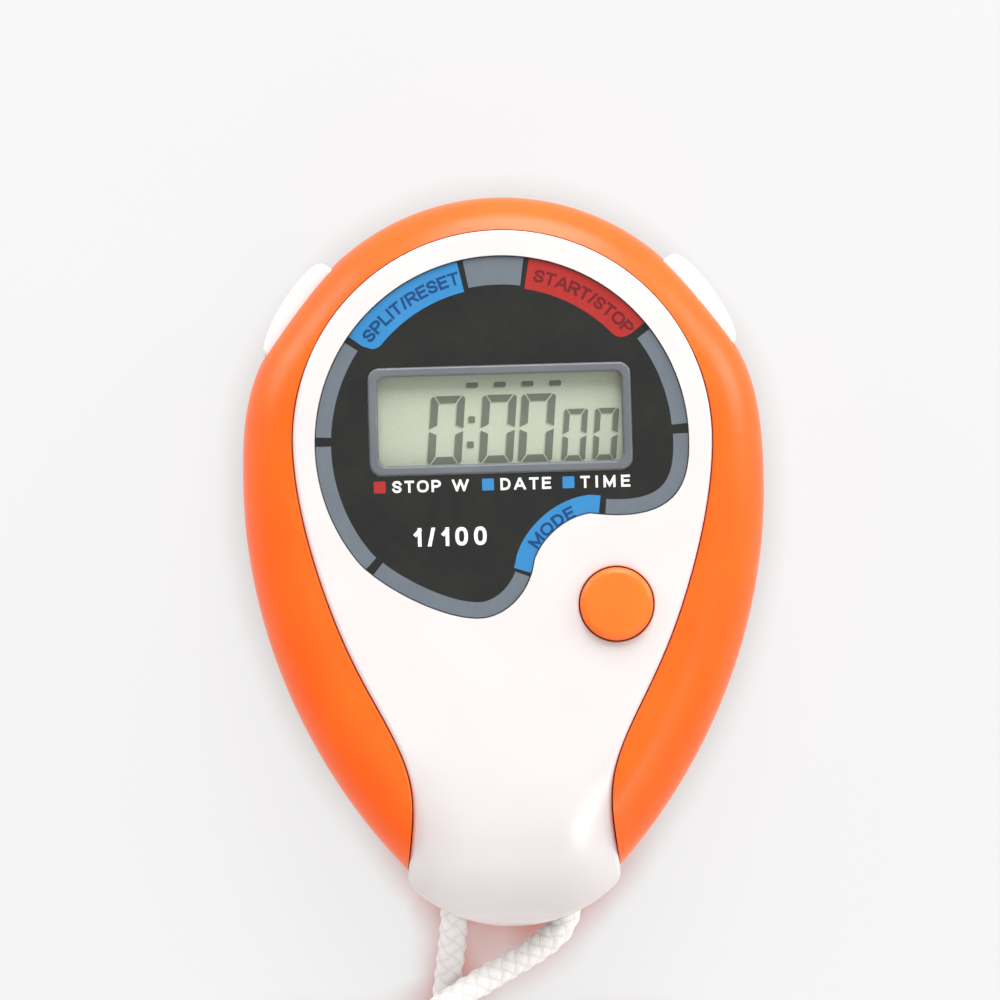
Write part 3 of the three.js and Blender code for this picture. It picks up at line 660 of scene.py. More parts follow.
LEFT_ROUTE = [
    (6.0, -49.3, 3.6), (5.2, -46.4, 3.6), (2.85, -44.15, 3.6), (-0.3, -43.3, 3.6), (-3.45, -44.15, 3.6),
    (-5.8, -46.4, 3.6), (-6.6, -49.5, 3.6), (-6.75, -52.3, 3.5), (-7.1, -55.5, 2.6), (-7.6, -58.8, 1.8),
    (-8.05, -62.4, 1.55), (-8.4, -66.6, 1.55), (-8.5, -71, 1.55), (-8.5, -75, 1.55),
]
RIGHT_ROUTE = [
    (6.0, -49.9, 3.6), (5.75, -51.8, 3.6), (4.6, -54.1, 3.5), (2.2, -56.0, 3.3), (-0.6, -57.6, 3.4),
    (-3.4, -59.2, 3.9), (-6.0, -60.7, 4.6), (-8.3, -62.2, 4.95), (-11.6, -63.8, 4.4), (-15.0, -64.9, 3.9),
    (-18.6, -65.9, 3.8),
]
TAIL_ROUTE = [
    (0.5, -66.1, 4.5), (-4.0, -66.4, 4.9), (-8.4, -67.2, 4.95), (-12.0, -68.1, 4.4), (-15.2, -68.7, 3.9),
    (-18.4, -68.6, 3.8),
]
COIL_LOW, COIL_HIGH = node_box("lanyard_coil")
COIL = (COIL_LOW + COIL_HIGH) / 2
COIL_TURN_R = (COIL_HIGH.x - COIL_LOW.x) / 2 - CORD_R  # middle of the outermost turn
COIL_START_DEG, COIL_STEP_DEG = 180, 6
TURNS = 4  # in each of the coil's two layers
WINDING_IN = [(-8.5, -79, 1.5), (-8.5, -83, 1.5)]  # the way into the coil
WINDING_OUT = [(8.4, -66.0, 4.5), (4.4, -66.0, 4.5)]  # and out of it
CLIMB_IN = 1.3  # how far inwards the cord swings as it climbs to the top layer
TIE_DEG = -60
TIE_HALF_WIDTH = 2.0
LIFTED, LIFT_SLOPE = 2.5, 9  # how far from the tie the cord lies level on it, and then comes down
STEP_START_DEG, STEP_END_DEG = 130, 180  # each turn moves in or out by a diameter between these
KNOT_R = 1.42  # the cord is drawn tight in its knot
END_ROUTES = [
    [(-22.6, -65.6, 3.6), (-24.4, -65.2, 2.8), (-25.9, -64.5, 1.9), (-27.2, -63.6, 1.6)],
    [(-22.6, -68.2, 3.6), (-24.3, -68.8, 2.6), (-25.7, -69.7, 1.8), (-26.9, -70.6, 1.6)],
]


def eased(share):
    share = min(1.0, max(0.0, share))
    return share * share * (3 - 2 * share)


def coil_point(degrees, radius, z):
    """A point of the coil, lifted where the tie passes under the turns."""
    turn = math.radians(degrees)
    from_tie = abs(math.remainder(degrees - TIE_DEG, 360))
    lift = 1 - eased((math.radians(from_tie) * radius - LIFTED) / LIFT_SLOPE)
    z += lift * (0.65 if z < 2 * CORD_R else 0.35)
    return (COIL.x + radius * math.cos(turn), COIL.y + radius * math.sin(turn), z)


def coil_turn(degrees):
    """The whole turns since the coil's start, and how far the move to the next turn has gone."""
    since = (degrees - 1) % 360 + 1
    moved = eased((since - STEP_START_DEG) / (STEP_END_DEG - STEP_START_DEG)) if since <= STEP_END_DEG else 0
    return (degrees - COIL_START_DEG - 1) // 360, moved


def coil_points():
    """The wound length: inwards along the bottom layer, up, and outwards along the top layer."""
    points = []
    for degrees in range(COIL_START_DEG + COIL_STEP_DEG, COIL_START_DEG + 360 * TURNS + 1, COIL_STEP_DEG):
        turn, moved = coil_turn(degrees)
        climb = moved if turn == TURNS - 1 else 0
        radius = COIL_TURN_R - 2 * CORD_R * (turn + moved - climb) - CLIMB_IN * math.sin(math.pi * climb)
        points.append(coil_point(degrees, radius, CORD_R + 2 * CORD_R * climb))
    last = COIL_START_DEG + 360 * (TURNS - 1) + 270
    for degrees in range(COIL_START_DEG + COIL_STEP_DEG, last + 1, COIL_STEP_DEG):
        turn, moved = coil_turn(degrees)
        radius = COIL_TURN_R - 2 * CORD_R * (TURNS - 1 - turn - moved)
        points.append(coil_point(degrees, radius, 3 * CORD_R))
    return points


def curved(points, spacing):
    """A smooth line through points, evenly spaced."""
    points = np.array(points, float)
    padded = np.concatenate([[2 * points[0] - points[1]], points, [2 * points[-1] - points[-2]]])
    t = np.linspace(0, 1, 24, endpoint=False)[:, None]
    line = []
    for p0, p1, p2, p3 in zip(padded, padded[1:], padded[2:], padded[3:]):
        square, cube = 2 * p0 - 5 * p1 + 4 * p2 - p3, 3 * p1 - p0 - 3 * p2 + p3
        line.append(0.5 * (2 * p1 + (p2 - p0) * t + square * t**2 + cube * t**3))
    return even(np.concatenate(line + [points[-1:]]), spacing)


def weave(round_way, along):
    """How far the braid stands proud, 0 to 1, on a plan counted in yarns."""
    right, left = round_way + along, round_way - along
    on_top = (np.floor(right) + np.floor(left)) % 2
    across = np.where(on_top == 0, right, left) % 1
    lengthways = np.where(on_top == 0, left, right) % 1
    return np.sin(np.pi * across) ** 0.6 * (0.6 + 0.4 * np.sin(np.pi * lengthways))


def braided_tube(name, line, radius=CORD_R):
    """A cord along a line, with the braid in its surface and its plan in a UV map."""
    run = np.gradient(line, axis=0)
    run /= np.linalg.norm(run, axis=1)[:, None]
    side = np.cross(run[0], (0, 0, 1))
    side /= np.linalg.norm(side)
    along = travelled(line) / BRAID_LENGTH
    turn = np.linspace(0, 2 * math.pi, CORD_SIDES, endpoint=False)
    yarns = np.arange(CORD_SIDES) / CORD_SIDES * BRAID_YARNS
    rings = []
    for k, centre in enumerate(line):
        side = side - run[k] * np.dot(side, run[k])
        side /= np.linalg.norm(side)
        up = np.cross(run[k], side)
        proud = radius + BRAID_RELIEF * (weave(yarns, along[k]) - BRAID_MEAN)
        rings.append(centre + np.outer(np.cos(turn) * proud, side) + np.outer(np.sin(turn) * proud, up))
    count = len(rings) * CORD_SIDES
    ends = [line[0] - run[0] * CORD_END, line[-1] + run[-1] * CORD_END]
    faces = walls(CORD_SIDES, len(rings)) + fan(count, 0, CORD_SIDES, up=False)
    faces += fan(count + 1, count - CORD_SIDES, CORD_SIDES)
    piece = new_piece(name, np.concatenate(rings + [ends]), faces)
    plan = np.zeros((len(piece.data.loops), 2), np.float32)
    for face in piece.data.polygons:
        wraps = {v % CORD_SIDES for v in face.vertices if v < count} >= {0, CORD_SIDES - 1}
        for loop, vertex in zip(face.loop_indices, face.vertices):
            if vertex < count:
                around = vertex % CORD_SIDES or (CORD_SIDES if wraps else 0)
                plan[loop] = (around / CORD_SIDES * BRAID_YARNS, along[vertex // CORD_SIDES])
    piece.data.uv_layers.new(name="braid").data.foreach_set("uv", plan.ravel())
    piece.data.shade_smooth()
    return piece


def add_knot():
    """The two ends of the lanyard tied in one overhand knot, with two short melted tails."""
    t = np.linspace(0, 2 * math.pi, 160, endpoint=False)
    x, y = np.sin(t) + 2 * np.sin(2 * t), np.cos(t) - 2 * np.cos(2 * t)
    loop = np.column_stack([1.02 * x, 0.95 * y, -1.9 * np.sin(3 * t)]) + np.array(middle("lanyard_knot"))
    knot = braided_tube("lanyard_knot_tied", np.concatenate([loop, loop[:6]]), KNOT_R)
    tails = [curved(route, 0.2) for route in END_ROUTES]
    return knot, [braided_tube(f"lanyard_end_{i}", tail) for i, tail in enumerate(tails, 1)]


def add_tie():
    """A strap closed round the coil, with ribs across its outside."""
    low, high = COIL_TURN_R - 2 * CORD_R * (TURNS - 1) - CORD_R, COIL_TURN_R + CORD_R
    line = round_box(((low + high) / 2, 3.5), (high - low + 1.1, 6.3), 1.1, 0.1)
    turn = math.radians(TIE_DEG)
    outward = np.array([math.cos(turn), math.sin(turn), 0])
    sideways = np.array([-math.sin(turn), math.cos(turn), 0])
    half, bevel, outer, inner, edge = TIE_HALF_WIDTH, 0.15, 0.22, -0.2, 0.06
    one_side = [(-half, edge), (bevel - half, outer), (half - bevel, outer), (half, edge)]
    section = one_side + [(half, -edge), (half - bevel, inner), (bevel - half, inner), (-half, -edge)]
    centre = np.array((COIL.x, COIL.y, 0))
    points = []
    for k, (spot, normal) in enumerate(zip(line, -inward(line))):
        rib = 0.06 if (k // 2) % 2 else 0.0
        for across, proud in section:
            out, z = spot + normal * (proud + (rib if proud == outer else 0))
            points.append(centre + outward * out + sideways * across + (0, 0, z))
    return new_piece("lanyard_tie_strap", points, walls(len(section), len(line), closed=True))


def add_lanyard():
    wound = LEFT_ROUTE[-1:] + WINDING_IN + coil_points() + WINDING_OUT
    long_line = curved(LEFT_ROUTE[:-1] + wound + TAIL_ROUTE, 0.36)
    short_line = curved(RIGHT_ROUTE, 0.2)
    knot, ends = add_knot()
    tie = add_tie()
    long_cord = braided_tube("lanyard_cord", long_line)
    short_cord = braided_tube("lanyard_cord_short", short_line)
    dress(knot, YARN, "braided_cord", "case", "lanyard_knot")
    dress(smooth(tie), TIE_PLASTIC, "tie_plastic", "case", "lanyard_tie")
    wound_nodes = ("lanyard_strand_left", "lanyard_strand_tail", "lanyard_coil")
    dress(long_cord, YARN, "braided_cord", "case", *wound_nodes)
    dress(short_cord, YARN, "braided_cord", "case", "lanyard_strand_right")
    for end in ends:
        dress(end, YARN, "braided_cord", "case")


add_lanyard()

# ---------------------------------------------------------------- case

CASE_SCREWS = [middle(f"case_screw_{i}") for i in range(1, 6)]
PCB_SCREWS = [middle(f"pcb_screw_{i}") for i in range(1, 4)]
# A screw post's radius, its pilot hole's radius, and the heights of its foot and of the hole's end
CASE_POST = (2.5, 1.15, FRONT_BOTTOM + 0.2, 12.4)
PCB_POST = (2.2, 1.05, 10.75, 14.6)
NECK_START_Y = -34.5
BUTTON_OPENING = (12.6, 5.6)


def neck_height(y):
    """Height of the panel's surface, which runs flat over the face and down over the nose of the neck."""
    crest = bend((NECK_START_Y, PANEL_TOP), (-43, PANEL_TOP), (NECK_END_Y, 16.2), (NECK_END_Y, 7.6), 400)
    return np.interp(y, crest[::-1, 0], crest[::-1, 1], right=PANEL_TOP)


def turned_about_dial(points, deg):
    """Points drawn in a side button's frame, whose X points out of the case."""
    points = np.asarray(points, float)
    turn = math.radians(deg)
    x = points[:, 0] * math.cos(turn) - points[:, 1] * math.sin(turn)
    y = points[:, 0] * math.sin(turn) + points[:, 1] * math.cos(turn)
    return np.column_stack([x, y, points[:, 2]])


def side_button_opening(deg):
    """A tool that cuts a side button's opening through the wall."""
    outline = round_box((0, SIDE_BUTTON_Z), BUTTON_OPENING, 0.7, 0.2)
    rings = [np.insert(outline, 0, reach, axis=1) for reach in (22.0, 32.0)]
    return loft("opening", [turned_about_dial(r, deg) for r in rings])


def add_posts(piece, screws, kind, top):
    """Joins a post over each screw to a piece and drills its pilot hole from below."""
    radius, pilot_r, foot, pilot_top = kind
    joined(piece, *(post(screw, radius, foot, top) for screw in screws))
    cut(piece, *(post(screw, pilot_r, 0, pilot_top) for screw in screws))


def add_front_case():
    """The orange ring round the panel: a ledge to carry it and a rounded lip beside the parting line."""
    shoulder, foot = (5.5, 6), (0.25, 0.25)
    shell = plate("front_shell", CASE_OUTLINE, FRONT_BOTTOM, CROWN, shoulder, foot, 22)
    lip_start, lip_rise, lip_run = CROWN - 0.3, 0.28, 0.25
    seat = [level(inset(PANEL_OUTLINE, -0.02), z) for z in (LEDGE_TOP, lip_start - 1.0)]
    seat += [level(inset(PANEL_OUTLINE, -GAP), z) for z in (lip_start - 0.97, lip_start)]
    for turn in np.radians([20, 40, 60, 80]):
        outline = inset(PANEL_OUTLINE, -GAP - lip_run * (1 - math.cos(turn)))
        seat.append(level(outline, lip_start + lip_rise * math.sin(turn)))
    seat.append(level(inset(PANEL_OUTLINE, -GAP - lip_run - 0.05), ABOVE))
    neck_gap = kept_within(
        plate("gap", inset(PANEL_OUTLINE, -GAP), 0, ABOVE),
        block(-BESIDE, BESIDE, PAST_NECK_Y, PANEL_SKIRT_Y + 1, BELOW, ABOVE + 1),
    )
    cut(
        shell, plate("inside", inset(CASE_OUTLINE, WALL), 0, LEDGE_BOTTOM), loft("seat", seat),
        plate("window", inset(PANEL_OUTLINE, 1.4), 0, ABOVE), neck_gap,
        block(-BESIDE, BESIDE, PAST_NECK_Y, TIP_END[1] + 0.1, 0, ABOVE),
        side_button_opening(SIDE_BUTTON_DEG), side_button_opening(180 - SIDE_BUTTON_DEG),
    )
    add_posts(shell, CASE_SCREWS[:4], CASE_POST, LEDGE_TOP - 0.1)
    dress(smooth(shell), ORANGE, "orange_shell", "case", "front_case")


def distance_to(points, outline):
    """How far each point is from the nearest point of an outline."""
    return np.sqrt(((points[:, None, :] - outline[None, :, :]) ** 2).sum(axis=2).min(axis=1))


def panel_surface(points):
    """Height of the white panel: flat over the face, falling to both sides and the end of the neck."""
    across = np.maximum(np.abs(points[:, 0]) - 5, 0) / 6
    neck = np.clip((-33 - points[:, 1]) / 12, 0, 1)
    return neck_height(points[:, 1]) - 1.3 * neck * neck * (3 - 2 * neck) * across**2


def panel_blank():
    """The panel as a full block, with a rounded rim and a top of evenly spaced points."""
    count, edge_r, spacing = len(PANEL_OUTLINE), 0.5, 0.9
    rings = [level(inset(PANEL_OUTLINE, 0.2), FRONT_BOTTOM), level(PANEL_OUTLINE, FRONT_BOTTOM + 0.2)]
    for turn in np.radians(np.linspace(0, 90, 9)):
        plan = inset(PANEL_OUTLINE, edge_r * (1 - math.cos(turn)))
        rings.append(np.column_stack([plan, panel_surface(plan) - edge_r * (1 - math.sin(turn))]))
    top_edge = rings[-1][:, :2]
    x, y = np.meshgrid(np.arange(-24, 24, spacing), np.arange(-54, 24, spacing))
    grid = np.column_stack([x.ravel(), y.ravel()])
    grid = grid[distance_to(grid, top_edge) > spacing * 0.6]
    plan = [Vector(p) for p in np.concatenate([top_edge, grid])]
    borders = [(i, (i + 1) % count) for i in range(count)]
    filled = delaunay_2d_cdt(plan, borders, [], 1, 1e-6)
    inner = np.array(filled[0])[count:]
    points = np.concatenate(rings + [np.column_stack([inner, panel_surface(inner)])])
    last = (len(rings) - 1) * count
    faces = walls(count, len(rings)) + ladder(count, 0, up=False)
    faces += [tuple(last + corner for corner in face) for face in filled[2]]
    return new_piece("front_cover", points, faces)


def add_front_panel():
    """The white front: the printed label and the display sit in it, and it runs down into the neck."""
    panel = panel_blank()
    top = inset(PANEL_OUTLINE, WALL)
    neck_roof = np.maximum(neck_height(top[:, 1] - WALL) - WALL - 1.2, 6.5)
    inside_neck = [level(top, 0), level(top, 6.4), np.column_stack([top, neck_roof])]
    neck_hollow = kept_within(
        loft("hollow", inside_neck, symmetric=True),
        block(-BESIDE, BESIDE, PAST_NECK_Y, PANEL_SKIRT_Y + 1, BELOW, PANEL_UNDER),
    )
    display = plate("display", round_box(LCD, bezel_size(0.3), 1.4), 0, ABOVE)
    hole_r = MODE_R + 0.13
    lip = [(hole_r, 16.95), (hole_r + 0.03, 17.08), (hole_r + 0.12, 17.17), (hole_r + 0.3, 17.2)]
    mode_hole = turned("hole", [(0, 0), (hole_r, 0), *lip, (hole_r + 0.3, ABOVE), (0, ABOVE)], MODE)
    cut(
        panel, block(-BESIDE, BESIDE, PANEL_SKIRT_Y, BESIDE, 0, PANEL_UNDER), neck_hollow,
        plate("label_seat", inset(LABEL_OUTLINE, -0.06), LABEL_SEAT, ABOVE), display, mode_hole,
    )
    add_posts(panel, PCB_SCREWS, PCB_POST, PANEL_UNDER + 0.1)
    add_posts(panel, CASE_SCREWS[4:], CASE_POST, PANEL_UNDER + 0.1)
    dress(smooth(panel), WHITE, "white_shell", "case", "front_panel")


def arc_plate(name, radii, deg, half_deg, bottom, top):
    """A plate between two radii round the battery, `half_deg` to each side of a direction."""
    inner, outer = radii
    outside = arc(BATTERY.x, BATTERY.y, outer, deg - half_deg, deg + half_deg, 16)
    inside = arc(BATTERY.x, BATTERY.y, inner, deg + half_deg, deg - half_deg, 16)
    return plate(name, np.concatenate([outside, inside]), bottom, top)


def chamfered_hole(centre, radius, chamfer, depth, sides):
    """A tool for a hole up from the back face, wider by `chamfer` at its mouth."""
    mouth = radius + chamfer
    profile = [(0, BELOW), (mouth, BELOW), (mouth, 0), (radius, chamfer), (radius, depth), (0, depth)]
    return turned("hole", profile, centre, sides)


def add_rear_case():
    """The white back, with posts for screws and cord, a sounder chamber, a hatch and two cord notches."""
    outline = inset(REAR_OUTLINE, 0.3)
    rooted, post_top = FLOOR - 0.5, REAR_TOP - 0.05
    shell = plate("rear_shell", outline, 0, REAR_TOP, (0.2, 0.2), (2.5, 2.5), 14)
    cut(shell, plate("inside", inset(outline, WALL - 0.2), FLOOR, ABOVE, lower=(1.5, 1.5), steps=5))
    posts = [post(screw, 3, rooted, post_top) for screw in CASE_SCREWS]
    chamber = cut(post(PIEZO, 11.2, rooted, 3.2, 96), post(PIEZO, 10.4, FLOOR, ABOVE, 96))
    x, y, radius = -0.3, -49.6, 4.4
    cord_post = joined(
        post((x, y), radius, rooted, post_top, 64),
        block(x - 3.6, x + 3, NECK_END_Y + 1.2, y, rooted, post_top),
    )
    kept_within(cord_post, plate("inside", inset(outline, 0.5), 0, ABOVE))
    joined(shell, *posts, chamber, cord_post)
    spots = [*ring(PIEZO, 3, 6), PIEZO]
    sound_holes = [chamfered_hole(spot, 0.75, 0.25, 3, 32) for spot in spots]
    seats = [chamfered_hole(screw, 2.2, 0.3, 2.4, 48) for screw in CASE_SCREWS]
    holes = [post(screw, 1.25, BELOW, ABOVE) for screw in CASE_SCREWS]
    hatch = chamfered_hole(BATTERY, 7.8, 0.3, ABOVE, 96)
    lug_notches = [arc_plate("notch", (7.3, 8.75), deg, 22, BELOW, ABOVE) for deg in (-60, 120)]
    notch_sides = ((-9.0, -4.5), (3.1, 8.2))
    cord_notches = [block(x0, x1, PAST_NECK_Y, -48.8, FLOOR - 0.2, ABOVE) for x0, x1 in notch_sides]
    cut(shell, *seats, *holes, *sound_holes, hatch, *lug_notches, *cord_notches)
    dress(smooth(shell), WHITE, "white_shell", "case", "rear_case")


def add_battery_cover():
    """A coin-slot cover with two lugs, a groove for its seal and a pointer for its locked place."""
    radius, groove_r, collar_r, face, top = 7.5, 6.85, 7.2, 0.25, 2.75
    profile = filleted([
        (0, face), (collar_r, face), (radius, 0.5), (radius, 0.75), (groove_r, 0.75), (groove_r, 1.45),
        (radius, 1.45), (radius, FLOOR), (collar_r, FLOOR), (collar_r, top), (0, top),
    ], 0.12, 3)
    cover = turned("battery_hatch_cover", profile, BATTERY, 128)
    for deg in (0, 180):
        joined(cover, arc_plate("lug", (6.5, 8.45), deg, 18, FLOOR + 0.2, top))
    slot = plate("slot", round_box(BATTERY, (10.4, 1.6), 0.75), BELOW, 1.1)
    tip_y = BATTERY.y + 6.3
    pointer = np.array([(BATTERY.x, tip_y), (BATTERY.x - 0.8, tip_y - 1.4), (BATTERY.x + 0.8, tip_y - 1.4)])
    cut(cover, slot, plate("pointer", pointer, BELOW, 0.4))
    dress(smooth(cover), WHITE, "white_shell", "battery_hatch", "battery_cover")


add_front_case()
add_front_panel()
add_rear_case()
add_battery_cover()

# ---------------------------------------------------------------- printed face


class Print:
    """Thin flat shapes gathered into one mesh, each with its own ink."""

    def __init__(self):
        self.points, self.faces, self.inks, self.materials = [], [], [], []

    def ink_index(self, material):
        if material not in self.materials:
            self.materials.append(material)
        return self.materials.index(material)

    def shape(self, outline, bottom, top, material):
        """A flat shape with a closed edge."""
        outline = anticlockwise(np.asarray(outline, float))
        start, upper = len(self.points), len(self.points) + len(outline)
        self.points += level(outline, bottom).tolist() + level(outline, top).tolist()
        faces = walls(len(outline), 2, start)
        faces += [tuple(range(start, upper))[::-1], tuple(range(upper, len(self.points)))]
        self.faces += faces
        self.inks += [self.ink_index(material)] * len(faces)

    def letters(self, word, height, width, bottom, top, material, lay):
        """A word `width` wide, laid on the face by `lay`, which takes its flat (x, y) and returns them."""
        solid = drawn_word(word, height, width)
        start = len(self.points)
        for vertex in solid.data.vertices:
            x, y, z = np.array(vertex.co) / MM - (0, DIAL_Y, 0)
            self.points.append((*lay(x, y), top if z > 0.5 else bottom))
        for face in solid.data.polygons:
            self.faces.append(tuple(start + v for v in face.vertices))
            self.inks.append(self.ink_index(material))
        bpy.data.objects.remove(solid)

    def finished(self, name):
        piece = new_piece(name, self.points, self.faces)
        for material in self.materials:
            piece.data.materials.append(material)
        piece.data.polygons.foreach_set("material_index", self.inks)
        work = bmesh.new()
        work.from_mesh(piece.data)
        bmesh.ops.remove_doubles(work, verts=work.verts, dist=1e-7)
        bmesh.ops.dissolve_degenerate(work, edges=work.edges, dist=1e-8)
        work.to_mesh(piece.data)
        work.free()
        return piece


def squared(share):
    """A circle's coordinate, -1 to 1, pushed a little towards a square's and set between 0 and 1."""
    return 0.5 + 0.5 * math.copysign(abs(share) ** 0.8, share)


def bowl(low, high, flat):
    """A round side, from the stem along the low line, round, and back along the high line."""
    centre, half = (low + high) / 2, (high - low) / 2
    turns = np.radians(np.linspace(-90, 90, 9))
    side = [(flat + (1 - flat) * math.cos(turn), centre + half * math.sin(turn)) for turn in turns]
    return [(0, low), *side, (0, high)]


STEM = [(0, 0), (0, 1)]
ROUND = [(squared(math.cos(turn)), squared(math.sin(turn))) for turn in np.radians(range(0, 360, 15))]
S_CURVE = [
    (0.97, 0.78), (0.78, 0.97), (0.5, 1.0), (0.2, 0.95), (0.03, 0.76), (0.18, 0.58), (0.5, 0.5),
    (0.82, 0.42), (0.98, 0.23), (0.8, 0.04), (0.5, 0.0), (0.2, 0.04), (0.01, 0.23),
]
# Each letter: its width for a height of 1, its open strokes and its closed strokes, in a box of 1 by 1
LETTERS = {
    "A": (0.98, [[(0, 0), (0.5, 1.08), (1, 0)], [(0.22, 0.3), (0.78, 0.3)]], []),
    "D": (0.85, [], [bowl(0, 1, 0.45)]),
    "E": (0.75, [[(1, 1), (0, 1), (0, 0), (1, 0)], [(0, 0.52), (0.9, 0.52)]], []),
    "I": (0.2, [STEM], []),
    "L": (0.7, [[(0, 1), (0, 0), (1, 0)]], []),
    "M": (1.0, [[(0, 0), (0, 1), (0.5, 0.1), (1, 1), (1, 0)]], []),
    "O": (0.98, [], [ROUND]),
    "P": (0.8, [STEM, bowl(0.45, 1, 0.5)], []),
    "R": (0.86, [STEM, bowl(0.47, 1, 0.5), [(0.5, 0.47), (1, 0)]], []),
    "S": (0.8, [S_CURVE], []),
    "T": (0.8, [[(0, 1), (1, 1)], [(0.5, 1), (0.5, 0)]], []),
    "W": (1.4, [[(0, 1), (0.25, 0), (0.5, 1), (0.75, 0), (1, 1)]], []),
    "0": (0.68, [], [ROUND]),
    "1": (0.42, [[(1, 0), (1, 1)], [(1, 0.95), (0.1, 0.68)]], []),
    "/": (0.42, [[(0, -0.1), (1, 1.1)]], []),
    " ": (0.45, [], []),
}
STROKE = 0.2  # weight of a stroke for a height of 1
INK_THICK = 0.012
LABEL_MARGIN = 0.08  # film left bare outside the printed bands
BAND_STEP_DEG = 0.6
BAND_WIDTH, TAB_WIDTH, TAB_SOFT = 1.75, 3.45, 1.6
LEGEND_Y, LEGEND_HEIGHT, LEGEND_SQUARE = -4.85, 1.32, 1.3
ARC_WORD_R = 17.95


def drawn_stroke(path, weight, closed):
    """One stroke of a letter, with square ends and mitred corners, as a solid 1 mm thick."""
    path = np.array(path, float)
    if closed:
        before, after = path - np.roll(path, 1, 0), np.roll(path, -1, 0) - path
    else:
        for end, beside in ((0, 1), (-1, -2)):
            outwards = path[end] - path[beside]
            path[end] += outwards / np.linalg.norm(outwards) * weight / 2
        runs = np.diff(path, axis=0)
        before, after = np.concatenate([runs[:1], runs]), np.concatenate([runs, runs[-1:]])
    before, after = left_of(before), left_of(after)
    mitre = (before + after) / (1 + (before * after).sum(axis=1))[:, None]
    left, right = path + mitre * weight / 2, path - mitre * weight / 2
    count = len(path)
    points = np.concatenate([level(side, z) for z in (0, 1) for side in (left, right)])
    faces = []
    for i in range(count if closed else count - 1):
        j = (i + 1) % count
        low = [i, j, count + j, count + i]
        high = [2 * count + corner for corner in low]
        faces += [high[::-1], low, [low[0], high[0], high[1], low[1]], [low[3], low[2], high[2], high[3]]]
    if not closed:
        for i, way in ((0, 1), (count - 1, -1)):
            faces.append([i, count + i, 3 * count + i, 2 * count + i][::way])
    return new_piece("stroke", points, faces)


def drawn_word(word, height, width):
    """A word in plain capitals, centred on the origin and standing on the X axis."""
    weight = STROKE * height
    sizes = [LETTERS[letter][0] * height for letter in word]
    gap = (width - sum(sizes)) / (len(word) - 1)
    solids, x = [], -width / 2
    for letter, size in zip(word, sizes):
        corner = np.array([x + weight / 2, weight / 2])
        scale = np.array([max(size - weight, 0), height - weight])
        for closed, paths in enumerate(LETTERS[letter][1:]):
            solids += [drawn_stroke(corner + np.array(path) * scale, weight, bool(closed)) for path in paths]
        x += size + gap
    solid = joined(solids[0], *solids[1:])
    return kept_within(solid, block(-width, width, 0, height, -1, 2))


def band(start, end, width, start_soft=0.0, end_soft=0.0):
    """A strip along the label's edge between two directions from the dial's centre."""
    angles = np.degrees(np.arctan2(LABEL_OUTLINE[:, 1], LABEL_OUTLINE[:, 0])) % 360
    order = np.argsort(angles)
    angles, line, way = angles[order], LABEL_OUTLINE[order], inward(LABEL_OUTLINE)[order]
    stops = np.arange(start, end + 1e-6, min(BAND_STEP_DEG, (end - start) / 6))
    stops = np.append(stops[:-1], end)
    sample = [np.interp(stops % 360, angles, column, period=360) for column in (*line.T, *way.T)]
    edge, into = np.column_stack(sample[:2]), np.column_stack(sample[2:])
    along = travelled(edge)
    depth = np.full(len(edge), width)
    for soft, distance in ((start_soft, along), (end_soft, along[-1] - along)):
        if soft:
            near = np.clip(1 - distance / soft, 0, 1)
            depth -= soft * (1 - np.sqrt(1 - near**2))
    return np.concatenate([edge + into * LABEL_MARGIN, (edge + into * depth[:, None])[::-1]])


def round_word(centre, radius, middle_deg):
    """Lays a word along a circle, its letters upright at the top of the circle."""
    def lay(x, y):
        turn = math.radians(middle_deg) - x / radius
        return centre[0] + (radius + y) * math.cos(turn), centre[1] + (radius + y) * math.sin(turn)
    return lay


def straight_word(x0, y0):
    return lambda x, y: (x + x0, y + y0)


def add_label():
    film = plate("face_film", LABEL_OUTLINE, LABEL_SEAT + 0.02, LABEL_TOP, (0.05, 0.05), steps=3)
    cut(film, plate("display", round_box(LCD, bezel_size(0.1), 1.35), 0, ABOVE))
    dress(smooth(film), LABEL, "printed_label", "case", "face_label")


